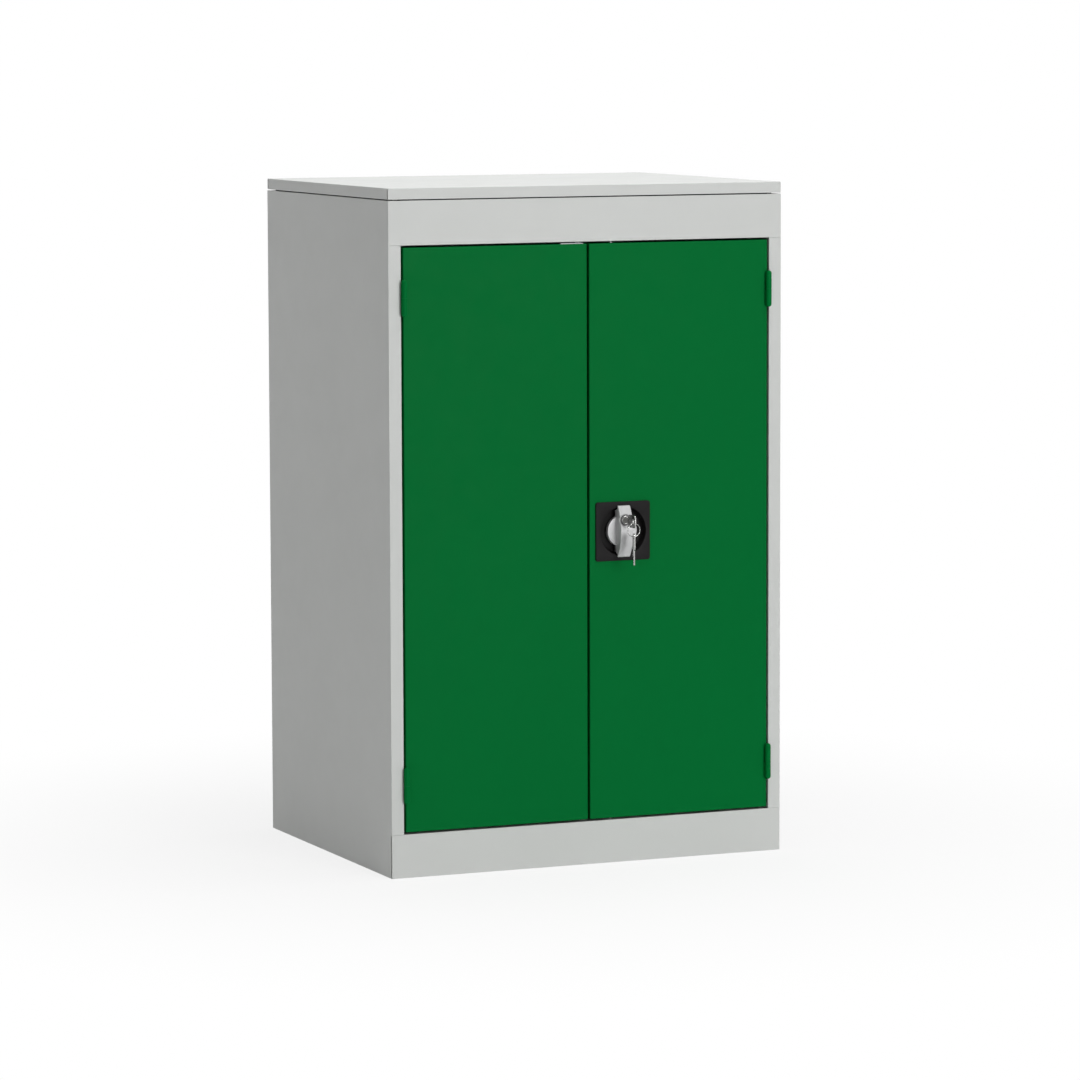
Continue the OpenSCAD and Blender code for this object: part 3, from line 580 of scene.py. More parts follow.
def cut_away(made, *cutters):
    """Subtracts closed cutters from a closed piece and removes them."""
    for cutter in cutters:
        step = made.modifiers.new("Cut", "BOOLEAN")
        step.operation = "DIFFERENCE"
        step.solver = "EXACT"
        step.object = cutter
        depsgraph = bpy.context.evaluated_depsgraph_get()
        mesh = bpy.data.meshes.new_from_object(made.evaluated_get(depsgraph))
        made.modifiers.clear()
        made.data = mesh
        bpy.data.objects.remove(cutter)
    return made


def lathe(name, profile, centre, axis="out", steps=64):
    """Solid turned from a profile of (radius, height) points about an axis through centre.

    A point is centre + radius * (cos t * across + sin t * up) + height * along. "out" turns
    about the lock's outward axis (-Y), "up" about +Z and "back" about +Y.
    """
    across, up, along = {
        "out": ((1, 0, 0), (0, 0, 1), (0, -1, 0)),
        "up": ((1, 0, 0), (0, 1, 0), (0, 0, 1)),
        "back": ((1, 0, 0), (0, 0, 1), (0, 1, 0))}[axis]
    profile = np.asarray(profile, float)
    turn = np.linspace(0, 2 * math.pi, steps, endpoint=False)
    ring = np.cos(turn)[:, None] * np.array(across) + np.sin(turn)[:, None] * np.array(up)
    points = (np.asarray(centre, float) + profile[:, 0, None, None] * ring
              + profile[:, 1, None, None] * np.array(along))
    faces = grid_faces(len(profile), steps, close_columns=True).tolist()
    first, last = 0, (len(profile) - 1) * steps
    if profile[0, 0] > 0:
        faces.append(list(range(first, first + steps)))
    if profile[-1, 0] > 0:
        faces.append(list(range(last, last + steps)))
    return solid(name, points, faces)


def arc_points(centre, radius, start, end, steps):
    """Points on an arc from start to end degrees, as (first, second) coordinates."""
    turn = np.radians(np.linspace(start, end, steps))
    return np.stack([centre[0] + radius * np.cos(turn), centre[1] + radius * np.sin(turn)], -1)


def rounded_rectangle(width, height, radius, steps=8, centre=(0.0, 0.0)):
    """Outline of four quarter arcs, anticlockwise."""
    x, y = width / 2 - radius, height / 2 - radius
    corners = [(x, y, 0), (-x, y, 90), (-x, -y, 180), (x, -y, 270)]
    return np.concatenate([
        arc_points((centre[0] + cx, centre[1] + cy), radius, start, start + 90, steps)
        for cx, cy, start in corners])


def flat_plate(name, outlines, low, high, place):
    """Plate whose first outline is its rim and whose others are holes, from low to high.

    place turns (n, 3) points of (first, second, height) into the frame's coordinates. The
    faces are the outlines' triangulation at both heights and one quad along each rim edge.
    """
    flat = np.concatenate(outlines)
    count = len(flat)
    triangles = tessellate_polygon([[(*p, 0.0) for p in outline] for outline in outlines])
    faces = [list(t) for t in triangles] + [[i + count for i in t] for t in triangles]
    start = 0
    for outline in outlines:
        i = np.arange(len(outline))
        j = (i + 1) % len(outline)
        quads = np.stack([start + i, start + j, start + j + count, start + i + count], -1)
        faces += quads.tolist()
        start += len(outline)
    levels = np.repeat([low, high], count)[:, None]
    return solid(name, place(np.hstack([np.vstack([flat, flat]), levels])), faces)


def room_beside(edge, face):
    """Width of the face beside this edge and distance to the nearest thing on it.

    Both are measured square to the edge, to the face's edges that lie along it. The width
    counts only those that run beside at least a tenth of it.
    """
    start, end = (np.array(v.co) for v in edge.verts)
    length = edge.calc_length()
    along = (end - start) / length
    corners = np.array([v.co for v in face.verts]) - start
    way = corners @ along
    reach = np.linalg.norm(corners - way[:, None] * along, axis=1)
    next_way, next_reach = np.roll(way, -1), np.roll(reach, -1)
    low = np.clip(np.minimum(way, next_way), 0, length)
    high = np.clip(np.maximum(way, next_way), 0, length)
    apart = (np.minimum(reach, next_reach) > 1e-5) & (high - low > 1e-5)
    if not apart.any():
        return length, length
    slope = (next_reach - reach)[apart] / (next_way - way)[apart]
    at_low = reach[apart] + slope * (low - way)[apart]
    at_high = reach[apart] + slope * (high - way)[apart]
    nearest = np.minimum(at_low, at_high)
    beside = nearest[(high - low)[apart] > 0.1 * length]
    return (beside.min() if len(beside) else length), nearest.min()


def folds_over(made):
    """Whether a triangle of more than 6 square millimetres faces against its own polygon."""
    depsgraph = bpy.context.evaluated_depsgraph_get()
    mesh = bpy.data.meshes.new_from_object(made.evaluated_get(depsgraph))
    mesh.calc_loop_triangles()
    points = np.zeros(len(mesh.vertices) * 3)
    mesh.vertices.foreach_get("co", points)
    corner = np.zeros(len(mesh.loop_triangles) * 3, dtype=np.int32)
    mesh.loop_triangles.foreach_get("vertices", corner)
    owner = np.zeros(len(mesh.loop_triangles), dtype=np.int32)
    mesh.loop_triangles.foreach_get("polygon_index", owner)
    normals = np.zeros(len(mesh.polygons) * 3)
    mesh.polygons.foreach_get("normal", normals)
    bpy.data.meshes.remove(mesh)
    a, b, c = points.reshape(-1, 3)[corner.reshape(-1, 3)].transpose(1, 0, 2)
    area = (np.cross(b - a, c - a) * normals.reshape(-1, 3)[owner]).sum(axis=1) / 2
    return area.min() < -6 * MM ** 2


def folded_copy(node, slot):
    """Copy of a CAD node with round folds and soft rims.

    Its triangles are merged and its flats joined. An edge between two broad faces is a fold and
    gets the fold radius; any other edge gets the rim radius. No round takes more than 0.4 of the
    shortest edge at its ends, 0.4 of its faces' width or 0.75 of the way to the nearest thing on
    them. Where rounds would still fold a face over they are halved, twice at most, and left off
    after that.
    """
    settings = bpy.context.scene.cabinet_folds
    work = bmesh.new()
    work.from_mesh(NODES[node].data)
    bmesh.ops.remove_doubles(work, verts=work.verts, dist=1e-6)
    bmesh.ops.dissolve_limit(work, angle_limit=math.radians(0.5), verts=work.verts,
                             edges=work.edges)
    layer = work.edges.layers.float.new("bevel_weight_edge")
    for edge in work.edges:
        if len(edge.link_faces) != 2 or edge.calc_face_angle(0.0) < math.radians(20):
            continue
        width, nearest = np.min([room_beside(edge, face) for face in edge.link_faces], axis=0)
        broad = width > 2.2 * MM
        wanted = settings.fold_radius if broad and edge.is_convex else settings.rim_radius
        near = [e.calc_length() for v in edge.verts for e in v.link_edges]
        most = min(0.4 * min(near), 0.4 * width, 0.75 * nearest)
        edge[layer] = min(wanted, most) / settings.fold_radius
    mesh = bpy.data.meshes.new(node + ".dressed")
    work.to_mesh(mesh)
    work.free()
    mesh.shade_smooth()
    made = bpy.data.objects.new(node + ".dressed", mesh)
    bpy.context.scene.collection.objects.link(made)
    rounds = made.modifiers.new("Rounds", "BEVEL")
    rounds.limit_method = "WEIGHT"
    rounds.width = settings.fold_radius
    rounds.segments = settings.steps
    rounds.use_clamp_overlap = False
    for share in (1.0, 0.5, 0.25, 0.0):
        rounds.width = share * settings.fold_radius
        if not folds_over(made):
            break
    if share == 0.0:
        made.modifiers.remove(rounds)
        mesh.set_sharp_from_angle(angle=math.radians(30))
    flats = made.modifiers.new("Flats", "WEIGHTED_NORMAL")
    flats.weight = 100
    flats.keep_sharp = True
    return belongs(made, slot, NODES[node]["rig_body"], node)


# ---- Operators ----

class CABINET_OT_stage(bpy.types.Operator):
    """Sets the camera, the soft lights, the white surroundings and the pale floor"""

    bl_idname = "cabinet.stage"
    bl_label = "Stage"

    def execute(self, context):
        scene = context.scene
        settings = scene.cabinet_stage
        scene.view_settings.view_transform = "Standard"
        add_camera(scene, settings)
        add_surroundings(scene, settings)
        add_soft_box("front soft box", (1.35, -6.3, 1.4), (0.0, 0.0, 0.42), (2.0, 3.0),
                     settings.front_light)
        for name, place in (("left", (-5.6, 0.6, 1.0)), ("right", (5.6, 0.6, 1.0)),
                            ("rear", (0.0, 6.2, 1.2))):
            add_soft_box(name + " soft box", place, (0.0, 0.0, 0.45), (3.0, 3.0),
                         settings.side_light)
        add_soft_box("top soft box", (0.2, -0.3, 3.6), (0.0, 0.0, 0.5), (2.6, 2.6),
                     settings.top_light)
        add_floor()
        return {"FINISHED"}


def add_camera(scene, settings):
    """Camera that looks along the given azimuth and elevation, rolled about its view."""
    turn, rise, roll = settings.azimuth, settings.elevation, settings.roll
    back = np.array([math.sin(turn) * math.cos(rise), -math.cos(turn) * math.cos(rise),
                     math.sin(rise)])
    level = np.array([math.cos(turn), math.sin(turn), 0.0])
    upright = np.cross(back, level)
    right = level * math.cos(roll) + upright * math.sin(roll)
    matrix = Matrix.Identity(4)
    columns = (right, np.cross(back, right), back, np.array(settings.camera_place))
    for i, column in enumerate(columns):
        for row in range(3):
            matrix[row][i] = float(column[row])
    data = bpy.data.cameras.new("camera")
    data.lens = settings.lens
    data.sensor_width = 36.0
    data.sensor_fit = "HORIZONTAL"
    data.clip_end = 100.0
    camera = bpy.data.objects.new("camera", data)
    camera.matrix_world = matrix
    scene.collection.objects.link(camera)
    scene.camera = camera


def add_soft_box(name, place, target, size, power):
    """Rectangular area light at place, facing target."""
    data = bpy.data.lights.new(name, "AREA")
    data.shape = "RECTANGLE"
    data.size, data.size_y = size
    data.energy = power
    light = bpy.data.objects.new(name, data)
    back = Matrix.Translation(place).translation - Matrix.Translation(target).translation
    light.matrix_world = (Matrix.Translation(place)
                          @ back.to_track_quat("Z", "Y").to_matrix().to_4x4())
    bpy.context.scene.collection.objects.link(light)


def add_surroundings(scene, settings):
    """Even light all round; the camera, glossy surfaces and glass see plain white there."""
    world = bpy.data.worlds.new("white surroundings")
    world.use_nodes = True
    scene.world = world
    tree = world.node_tree
    background = tree.nodes["Background"]
    background.inputs["Color"].default_value = (1.0, 1.0, 1.0, 1.0)
    seen = seen_directly(tree)
    strength = add_node(tree, "ShaderNodeMapRange",
                        {"Value": seen, "To Min": settings.ambient, "To Max": 1.0})
    tree.links.new(strength.outputs["Result"], background.inputs["Strength"])


def seen_directly(tree):
    """1 for camera, glossy and transmission rays."""
    path = add_node(tree, "ShaderNodeLightPath")
    first = add_node(tree, "ShaderNodeMath",
                     {0: path.outputs["Is Camera Ray"], 1: path.outputs["Is Glossy Ray"]},
                     operation="MAXIMUM")
    both = add_node(tree, "ShaderNodeMath",
                    {0: first.outputs[0], 1: path.outputs["Is Transmission Ray"]},
                    operation="MAXIMUM")
    return both.outputs[0]


def beyond_cabinet(tree, place):
    """0 on the floor under the cabinet's floor pan, 1 elsewhere."""
    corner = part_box("base_pan")[1]
    apart = add_node(tree, "ShaderNodeVectorMath", {0: place.outputs["Object"]},
                     operation="ABSOLUTE")
    axes = add_node(tree, "ShaderNodeSeparateXYZ", {"Vector": apart.outputs["Vector"]})
    sides = [add_node(tree, "ShaderNodeMath", {0: axes.outputs[i], 1: float(corner[i])},
                      operation="GREATER_THAN").outputs[0] for i in (0, 1)]
    return add_node(tree, "ShaderNodeMath", {0: sides[0], 1: sides[1]},
                    operation="MAXIMUM").outputs[0]


def add_floor():
    """Pale round floor: a fan of rings, lit white but for the object's soft shadow."""
    rings, spokes, reach = 12, 64, 14.0
    radius = np.linspace(0.0, 1.0, rings)[:, None] ** 2 * reach
    turn = np.linspace(0.0, 2 * math.pi, spokes, endpoint=False)[None, :]
    points = np.stack([radius * np.cos(turn), radius * np.sin(turn),
                       np.zeros((rings, spokes))], -1)
    mesh = bpy.data.meshes.new("floor")
    mesh.from_pydata(points.reshape(-1, 3).tolist(), [],
                     grid_faces(rings, spokes, close_columns=True)[:, ::-1].tolist())
    floor = bpy.data.objects.new("floor", mesh)
    bpy.context.scene.collection.objects.link(floor)
    material = bpy.data.materials.new("pale floor")
    material.use_nodes = True
    tree = material.node_tree
    shader = tree.nodes["Principled BSDF"]
    shader.inputs["Base Color"].default_value = (0.9, 0.9, 0.9, 1.0)
    shader.inputs["Roughness"].default_value = 0.8
    shader.inputs["Specular IOR Level"].default_value = 0.1
    glow = add_node(tree, "ShaderNodeEmission", {"Color": (1.0, 1.0, 1.0, 1.0), "Strength": 1.0})
    place = add_node(tree, "ShaderNodeTexCoord")
    far = add_node(tree, "ShaderNodeVectorMath", {0: place.outputs["Object"]},
                   operation="LENGTH")
    fade = add_node(tree, "ShaderNodeMapRange",
                    {"Value": far.outputs["Value"], "From Min": 0.4, "From Max": 1.3,
                     "To Min": 0.8, "To Max": 1.0}, interpolation_type="SMOOTHSTEP")
    open_floor = add_node(tree, "ShaderNodeMath",
                          {0: fade.outputs["Result"], 1: beyond_cabinet(tree, place)},
                          operation="MULTIPLY")
    share = add_node(tree, "ShaderNodeMath",
                     {0: seen_directly(tree), 1: open_floor.outputs[0]},
                     operation="MULTIPLY")
    mixed = add_node(tree, "ShaderNodeMixShader",
                     {0: share.outputs[0], 1: shader.outputs[0], 2: glow.outputs[0]})
    tree.links.new(mixed.outputs[0], tree.nodes["Material Output"].inputs["Surface"])
    mesh.materials.append(material)


SHEET_NODES = {
    "grey_powder_coat": [
        "left_side_panel", "right_side_panel", "back_panel", "top_rail", "plinth", "base_pan",
        "base_stiffener", "top_cap", "front_left_upright", "front_right_upright",
        "rear_left_upright", "rear_right_upright", "upper_shelf", "upper_shelf_stiffener",
        "lower_shelf", "lower_shelf_stiffener"],
    "green_powder_coat": [
        "left_door_panel", "left_door_stiffener", "right_door_panel", "right_door_stiffener"],
    "zinc_plated_steel": [
        "upper_shelf_clips", "lower_shelf_clips", "bolt_bracket", "lock_case", "lock_cover",
        "rod_guides"],
}


class CABINET_OT_sheet_metal(bpy.types.Operator):
    """Dresses every folded sheet: the carcass, the doors, the shelves and the brackets"""

    bl_idname = "cabinet.sheet_metal"
    bl_label = "Sheet metal"

    def execute(self, context):
        for slot, names in SHEET_NODES.items():
            for name in names:
                folded_copy(name, slot)
        return {"FINISHED"}


def square_ray(turn, half, corner):
    """Distance from the middle of a rounded square to its outline, in each direction of turn.

    On a straight side it is half / max(|cos|, |sin|); at a corner it is the far root of the
    distance to the corner's circle.
    """
    c, s = np.abs(np.cos(turn)), np.abs(np.sin(turn))
    straight = half / np.maximum(c, s)
    inner = half - corner
    along = (c + s) * inner
    bent = along + np.sqrt(np.maximum(along ** 2 - 2 * inner ** 2 + corner ** 2, 0.0))
    return np.where(straight * np.minimum(c, s) > inner, bent, straight)


class CABINET_OT_escutcheon(bpy.types.Operator):
    """Square black plate with its round dish"""

    bl_idname = "cabinet.escutcheon"
    bl_label = "Escutcheon"

    def execute(self, context):
        """A closed skin of loops about the lock's axis, each at a radius that depends on turn.

        The loops run from the hub hole over the dish's floor, up its wall, over the rim, out
        to the rounded square and round its back to the hub hole again. Two holes in the floor
        take the locking pin, one for each position of the handle.
        """
        lock = context.scene.cabinet_lock
        half = float(PLATE_HIGH[0] - PLATE_LOW[0]) / 2
        near = np.radians(np.linspace(-5, 5, 15))
        corners = np.radians([45, 135, 225, 315])[:, None] + near
        turn = np.unique(np.concatenate(
            [np.linspace(0, 2 * math.pi, 120, endpoint=False), corners.ravel()]).round(9))
        floor, top = lock.dish_floor, lock.plate_thickness
        rim, edge = 0.5 * MM, 0.9 * MM
        bend = np.radians(np.linspace(0, 90, 15))
        spread = lock.dish_radius - lock.dish_floor_radius
        wall = np.stack([lock.dish_floor_radius + spread * np.sin(bend),
                         floor + (top - rim - floor) * (1 - np.cos(bend))], -1)
        over = arc_points((lock.dish_radius + rim, top - rim), rim, 180, 90, 5)
        hub = lock.hub_radius + 0.05 * MM
        back = floor - 3 * MM
        front = np.concatenate([[(hub, floor)], wall, over])
        outside = wall[::-1] + (lock.dish_wall, 0)
        rear = np.concatenate([outside[outside[:, 1] < -0.1 * MM],
                               [(wall[0, 0] + lock.dish_wall, back), (hub, back)]])
        round_over = arc_points((edge, top - edge), edge, 90, 180, 6)
        rows = [radius + 0 * turn for radius, _ in front]
        levels = [level for _, level in front]
        for inset, level in np.vstack([round_over, [(0.0, 0.0)]]):
            rows.append(square_ray(turn, half - inset, lock.plate_corner - inset * 0.6))
            levels.append(level)
        rows.append((lock.dish_radius + lock.dish_wall) + 0 * turn)
        levels.append(0.0)
        rows += [radius + 0 * turn for radius, _ in rear]
        levels += [level for _, level in rear]
        rows, levels = np.array(rows), np.array(levels)[:, None] + 0 * turn
        local = np.stack([rows * np.cos(turn), rows * np.sin(turn), levels], -1)
        faces = grid_faces(len(rows), len(turn), True, True).tolist()
        made = solid("escutcheon_plate", lock_to_frame(local), faces)
        rise = float(cylinder_centre()[2] - LOCK[2])
        below, above = back - 2 * MM, floor + 2 * MM
        through = [(0, below), (lock.pin_hole, below), (lock.pin_hole, above), (0, above)]
        cut_away(made, *[lathe("cutter", through, lock_to_frame((right, up, 0.0)), steps=32)
                         for right, up in ((0.0, rise), (rise, 0.0))])
        made.data.shade_smooth()
        made.data.set_sharp_from_angle(angle=math.radians(50))
        belongs(made, "black_plastic", "right_door", "escutcheon")
        add_studs(lock)
        return {"FINISHED"}


def add_studs(lock):
    """Four threaded studs behind the plate: a lathe profile that zigzags along the thread."""
    place, pitch, depth, count = 35 * MM, 0.8 * MM, 0.35 * MM, 9
    level = -np.arange(2 * count) * pitch / 2
    radius = 2.0 * MM - depth * (np.arange(2 * count) % 2)
    profile = np.stack([radius, level], -1)
    profile = np.concatenate([[(0.0, 0.0)], profile, [(0.0, profile[-1, 1] - 0.3 * MM)]])
    for across in (-1, 1):
        for rise in (-1, 1):
            centre = lock_to_frame((across * place, rise * place, 0.0))
            name = f"stud_{'left' if across < 0 else 'right'}_{'low' if rise < 0 else 'high'}"
            made = lathe(name, profile, centre, steps=20)
            made.data.shade_smooth()
            belongs(made, "black_plastic", "right_door")


class CABINET_OT_wing_handle(bpy.types.Operator):
    """Silver wing with its bowed front, the disc under it and its spindle"""

    bl_idname = "cabinet.wing_handle"
    bl_label = "Wing handle"

    def execute(self, context):
        """Sections across the wing, lofted along it, then cut out for the lock cylinder.

        Each section is a rounded rectangle from the back to the front level. The front is an
        arc through both ends and the crown, and near the ends every side draws in by
        e = R - sqrt(R^2 - t^2), t being the way into the last R of the length.
        """
        lock = context.scene.cabinet_lock
        half, end = lock.wing_length / 2, 1.5 * MM
        rise = lock.wing_crown - lock.wing_end
        arc = (half ** 2 + rise ** 2) / (2 * rise)
        bend = np.radians(np.linspace(0, 90, 7))
        tip = half - end + end * np.sin(bend)
        body = np.linspace(-(half - end), half - end, 61)
        step_in, step_out = 30.0 * MM, 33.5 * MM
        kinks = np.array([-step_out, -step_in, step_in, step_out])
        along = np.unique(np.concatenate([body, tip, -tip, kinks]).round(7))
        into = np.clip(np.abs(along) - (half - end), 0, end)
        inset = end - np.sqrt(np.maximum(end ** 2 - into ** 2, 0))
        front = lock.wing_crown - arc + np.sqrt(arc ** 2 - along ** 2) - inset
        deep, shallow = lock.dish_floor + 4 * MM, lock.plate_thickness + 0.6 * MM
        rear = np.interp(np.abs(along), [step_in, step_out, half],
                         [deep, shallow, shallow + 0.2 * MM]) + inset * 0.4
        across = lock.wing_width / 2 - inset
        turn = np.radians([np.linspace(start, start + 90, 6) for start in (0, 90, 180, 270)])
        front_round, rear_round = 1.4, 0.7
        radius = np.array([front_round] * 2 + [rear_round] * 2)[:, None] * MM
        side = np.array([1, -1, -1, 1])[:, None]
        high = np.array([1, 1, 0, 0])[:, None]
        level = np.where(high, front[:, None, None], rear[:, None, None])
        x = side * (across[:, None, None] - radius) + radius * np.cos(turn)
        z = level - np.where(high, 1, -1) * radius + radius * np.sin(turn)
        y = along[:, None, None] + 0 * x
        local = np.stack([x, y, z], -1).reshape(len(along), -1, 3)
        count = local.shape[1]
        faces = grid_faces(len(along), count, close_columns=True).tolist()
        faces += [list(range(count)), list(range((len(along) - 1) * count, len(along) * count))]
        made = solid("wing", lock_to_frame(local), faces)
        centre = cylinder_centre()
        recess = lock.cylinder_radius + 1.9 * MM
        bore = lock.cylinder_radius - 0.02 * MM
        seat = plug_face() - 1.5 * MM
        start, clear = deep + 1 * MM, 40 * MM
        cut_away(made, lathe("cutter", [(0, start), (bore, start), (bore, seat), (recess, seat),
                                        (recess, clear), (0, clear)], centre, steps=96))
        soften(made, 0.3 * MM, steps=2, angle=40)
        belongs(made, "satin_zinc_casting", "handle", "wing_handle")
        add_disc(lock)
        return {"FINISHED"}


def cylinder_centre():
    """Middle of the lock cylinder, on the front of the doors."""
    return np.array([(PLUG_LOW[0] + PLUG_HIGH[0]) / 2, LOCK[1],
                     (PLUG_LOW[2] + PLUG_HIGH[2]) / 2])


def plug_face():
    """Level of the plug's face."""
    return float(LOCK[1] - PLUG_LOW[1])


def add_disc(lock):
    """Disc with a rounded edge, hub and spindle, turned from one profile."""
    top, edge = 0.0, 0.9 * MM
    low = lock.dish_floor + 2 * MM
    seat = lock.dish_floor - 3 * MM
    end = float(LOCK[1] - DISC_HIGH[1])
    thread = end + 5 * MM
    level = np.arange(thread, end, -0.5 * MM)
    ridge = lock.spindle_radius - 0.35 * MM * (np.arange(len(level)) % 2)
    profile = np.concatenate([
        [(0.0, top + 0.2 * MM), (lock.disc_radius * 0.6, top + 0.1 * MM)],
        arc_points((lock.disc_radius - edge, top - edge), edge, 90, 0, 6),
        [(lock.disc_radius, low + 0.4 * MM), (lock.disc_radius - 0.4 * MM, low),
         (lock.hub_radius, low), (lock.hub_radius, seat), (lock.spindle_radius, seat)],
        np.stack([ridge, level], -1),
        [(lock.spindle_radius - 0.8 * MM, end), (0.0, end)]])
    made = lathe("handle_disc", profile, LOCK, steps=96)
    made.data.shade_smooth()
    made.data.set_sharp_from_angle(angle=math.radians(40))
    belongs(made, "satin_zinc_casting", "handle")


class CABINET_OT_cylinder(bpy.types.Operator):
    """Housing of the lock cylinder and its turning plug"""

    bl_idname = "cabinet.cylinder"
    bl_label = "Lock cylinder"

    def execute(self, context):
        lock = context.scene.cabinet_lock
        face, centre = plug_face(), cylinder_centre()
        rim, low = face - 0.6 * MM, lock.dish_floor + 4 * MM
        outer, inner = lock.cylinder_radius, lock.plug_radius + 0.08 * MM
        pin_bore = 2.1 * MM
        housing = lathe("cylinder_collar", [
            (pin_bore, low), (outer, low), (outer, rim - 0.5 * MM), (outer - 0.5 * MM, rim),
            (inner + 0.3 * MM, rim), (inner, rim - 0.3 * MM), (inner, low + 2 * MM),
            (pin_bore, low + 2 * MM), (pin_bore, low)], centre, steps=72)
        housing.data.shade_smooth()
        housing.data.set_sharp_from_angle(angle=math.radians(30))
        belongs(housing, "dark_zinc_casting", "handle", "cylinder_housing")
        back = float(LOCK[1] - PLUG_HIGH[1])
        plug = lathe("plug", [(0, back), (lock.plug_radius, back),
                              (lock.plug_radius, face - 0.4 * MM),
                              (lock.plug_radius - 0.4 * MM, face),
                              (lock.plug_radius - 1.4 * MM, face),
                              (lock.plug_radius - 1.7 * MM, face - 0.3 * MM),
                              (0, face - 0.3 * MM)], centre, steps=72)
        half = lock.key_thickness / 2 + 0.15 * MM
        keyway = flat_plate(
            "cutter", [rounded_rectangle(2 * half, 8.6 * MM, 0.5 * MM, steps=5)],
            back + 0.4 * MM, face + 5 * MM,
            lambda p: centre + np.stack([p[:, 0], -p[:, 2], p[:, 1]], -1))
        cut_away(plug, keyway)
        soften(plug, 0.12 * MM, steps=1, angle=35)
        belongs(plug, "bright_nickel", "plug", "cylinder_plug")
        return {"FINISHED"}


def key_outlines(lock):
    """Rim and ring slot of a key, its shoulder at 0, its bow above and its blade below.

    The rim runs round the bow's four corner arcs from neck to neck, down the blade's back,
    and up its cuts, a zigzag between a few depths. The slot is a rounded rectangle.
    """
    half = lock.blade_width / 2
    low = lock.key_reach - lock.bow_length
    x, radius = lock.bow_width / 2 - lock.bow_corner, lock.bow_corner
    neck = math.degrees(math.asin((half - x) / radius))
    rise, top = low + radius, lock.key_reach - radius
    bow = [arc_points((x, rise), radius, neck - 90, 0, 9), arc_points((x, top), radius, 0, 90, 9),
           arc_points((-x, top), radius, 90, 180, 9),
           arc_points((-x, rise), radius, 180, 270 - neck, 9)]
    end = float(KEY_HIGH[1] - KEY_LOW[1]) - lock.key_reach
    back = [(-half, 0.4 * MM), (-half, 1 * MM - end), (1 * MM, -end)]
    depth = np.array([0, 1.3, 0.4, 2.1, 0.9, 1.7, 0.3, 0.0]) * MM
    way = np.linspace(3.2 * MM - end, -1.6 * MM, len(depth))
    cuts = np.stack([half - depth, way], -1)
    rim = np.concatenate(bow + [back, cuts, [(half, 0.4 * MM)]])
    slot_width, slot_height, slot_corner, slot_down = 7.2 * MM, 4.6 * MM, 2.29 * MM, 6 * MM
    slot = rounded_rectangle(slot_width, slot_height, slot_corner, steps=9,
                             centre=(0.0, lock.key_reach - slot_down))
    return rim, slot


def make_key(name, place, body, node):
    """A stamped key with softened edges."""
    lock = bpy.context.scene.cabinet_lock
    rim, slot = key_outlines(lock)
    half = lock.key_thickness / 2
    made = flat_plate(name, [rim, slot], -half, half, place)
    soften(made, 0.35 * MM, steps=3, angle=50)
    return belongs(made, "bright_nickel", body, node)


class CABINET_OT_keys(bpy.types.Operator):
    """The key in the plug and the second key on the ring"""

    bl_idname = "cabinet.keys"
    bl_label = "Keys"

    def execute(self, context):
        lock = context.scene.cabinet_lock
        centre, face = cylinder_centre(), plug_face()
        low, high = (np.array(v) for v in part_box("second_key"))
        middle = (low + high) / 2
        cos, sin = math.cos(lock.hanging_turn), math.sin(lock.hanging_turn)

        def in_plug(p):
            """Along the key goes outwards from the plug's face, across it goes up."""
            return centre + np.stack([p[:, 2], -(face + p[:, 1]), p[:, 0]], -1)

        def on_ring(p):
            """Along the key goes up, and the key is turned a little about the vertical."""
            x = p[:, 2] * cos - p[:, 0] * sin
            back = p[:, 0] * cos + p[:, 2] * sin
            rise = high[2] - lock.key_reach + p[:, 1]
            return np.stack([middle[0] + x, middle[1] + back, rise], -1)

        make_key("inserted_key", in_plug, "first_key", "key")
        make_key("hanging_key", on_ring, "spare_key", "second_key")
        return {"FINISHED"}


class CABINET_OT_key_ring(bpy.types.Operator):
    """Split ring of two turns of wire"""

    bl_idname = "cabinet.key_ring"
    bl_label = "Key ring"

    def execute(self, context):
        """A tube round the helix (R cos t, R sin t, climb * t), t over nearly two turns."""
        lock = context.scene.cabinet_lock
        wire = lock.wire_radius
        centre = (RING_LOW + RING_HIGH) / 2
        inset, sides = 0.65 * MM, 12
        radius = float(RING_HIGH[0] - RING_LOW[0]) / 2 - inset
        turn = np.radians(np.linspace(200, 200 + 700, 160))
        climb = (turn - turn.mean()) / (turn[-1] - turn[0]) * 2.1 * wire
        side = np.linspace(0, 2 * math.pi, sides, endpoint=False)
        reach = radius + wire * np.cos(side)[None, :]
        x = reach * np.cos(turn)[:, None]
        y = reach * np.sin(turn)[:, None]
        out = climb[:, None] + wire * np.sin(side)[None, :]
        points = centre + np.stack([x, -out, y], -1)
        faces = grid_faces(len(turn), sides, close_columns=True).tolist()
        last = (len(turn) - 1) * sides
        faces += [list(range(sides)), list(range(last, last + sides))]
        made = solid("split_ring", points, faces)
        made.data.shade_smooth()
        belongs(made, "bright_nickel", "ring", "key_ring")
        return {"FINISHED"}


class CABINET_OT_hinges(bpy.types.Operator):
    """Four lift-off hinges: knuckles with domed ends and their leaves"""

    bl_idname = "cabinet.hinges"
    bl_label = "Hinges"

    def execute(self, context):
        for side in ("left", "right"):
            for height in ("upper", "lower"):
                fixed_half(f"{height}_{side}_hinge_base", "cabinet")
        for node, body in (("left_door_knuckles", "left_door"),
                           ("right_door_knuckles", "right_door")):
            moving_halves(node, body)
        return {"FINISHED"}


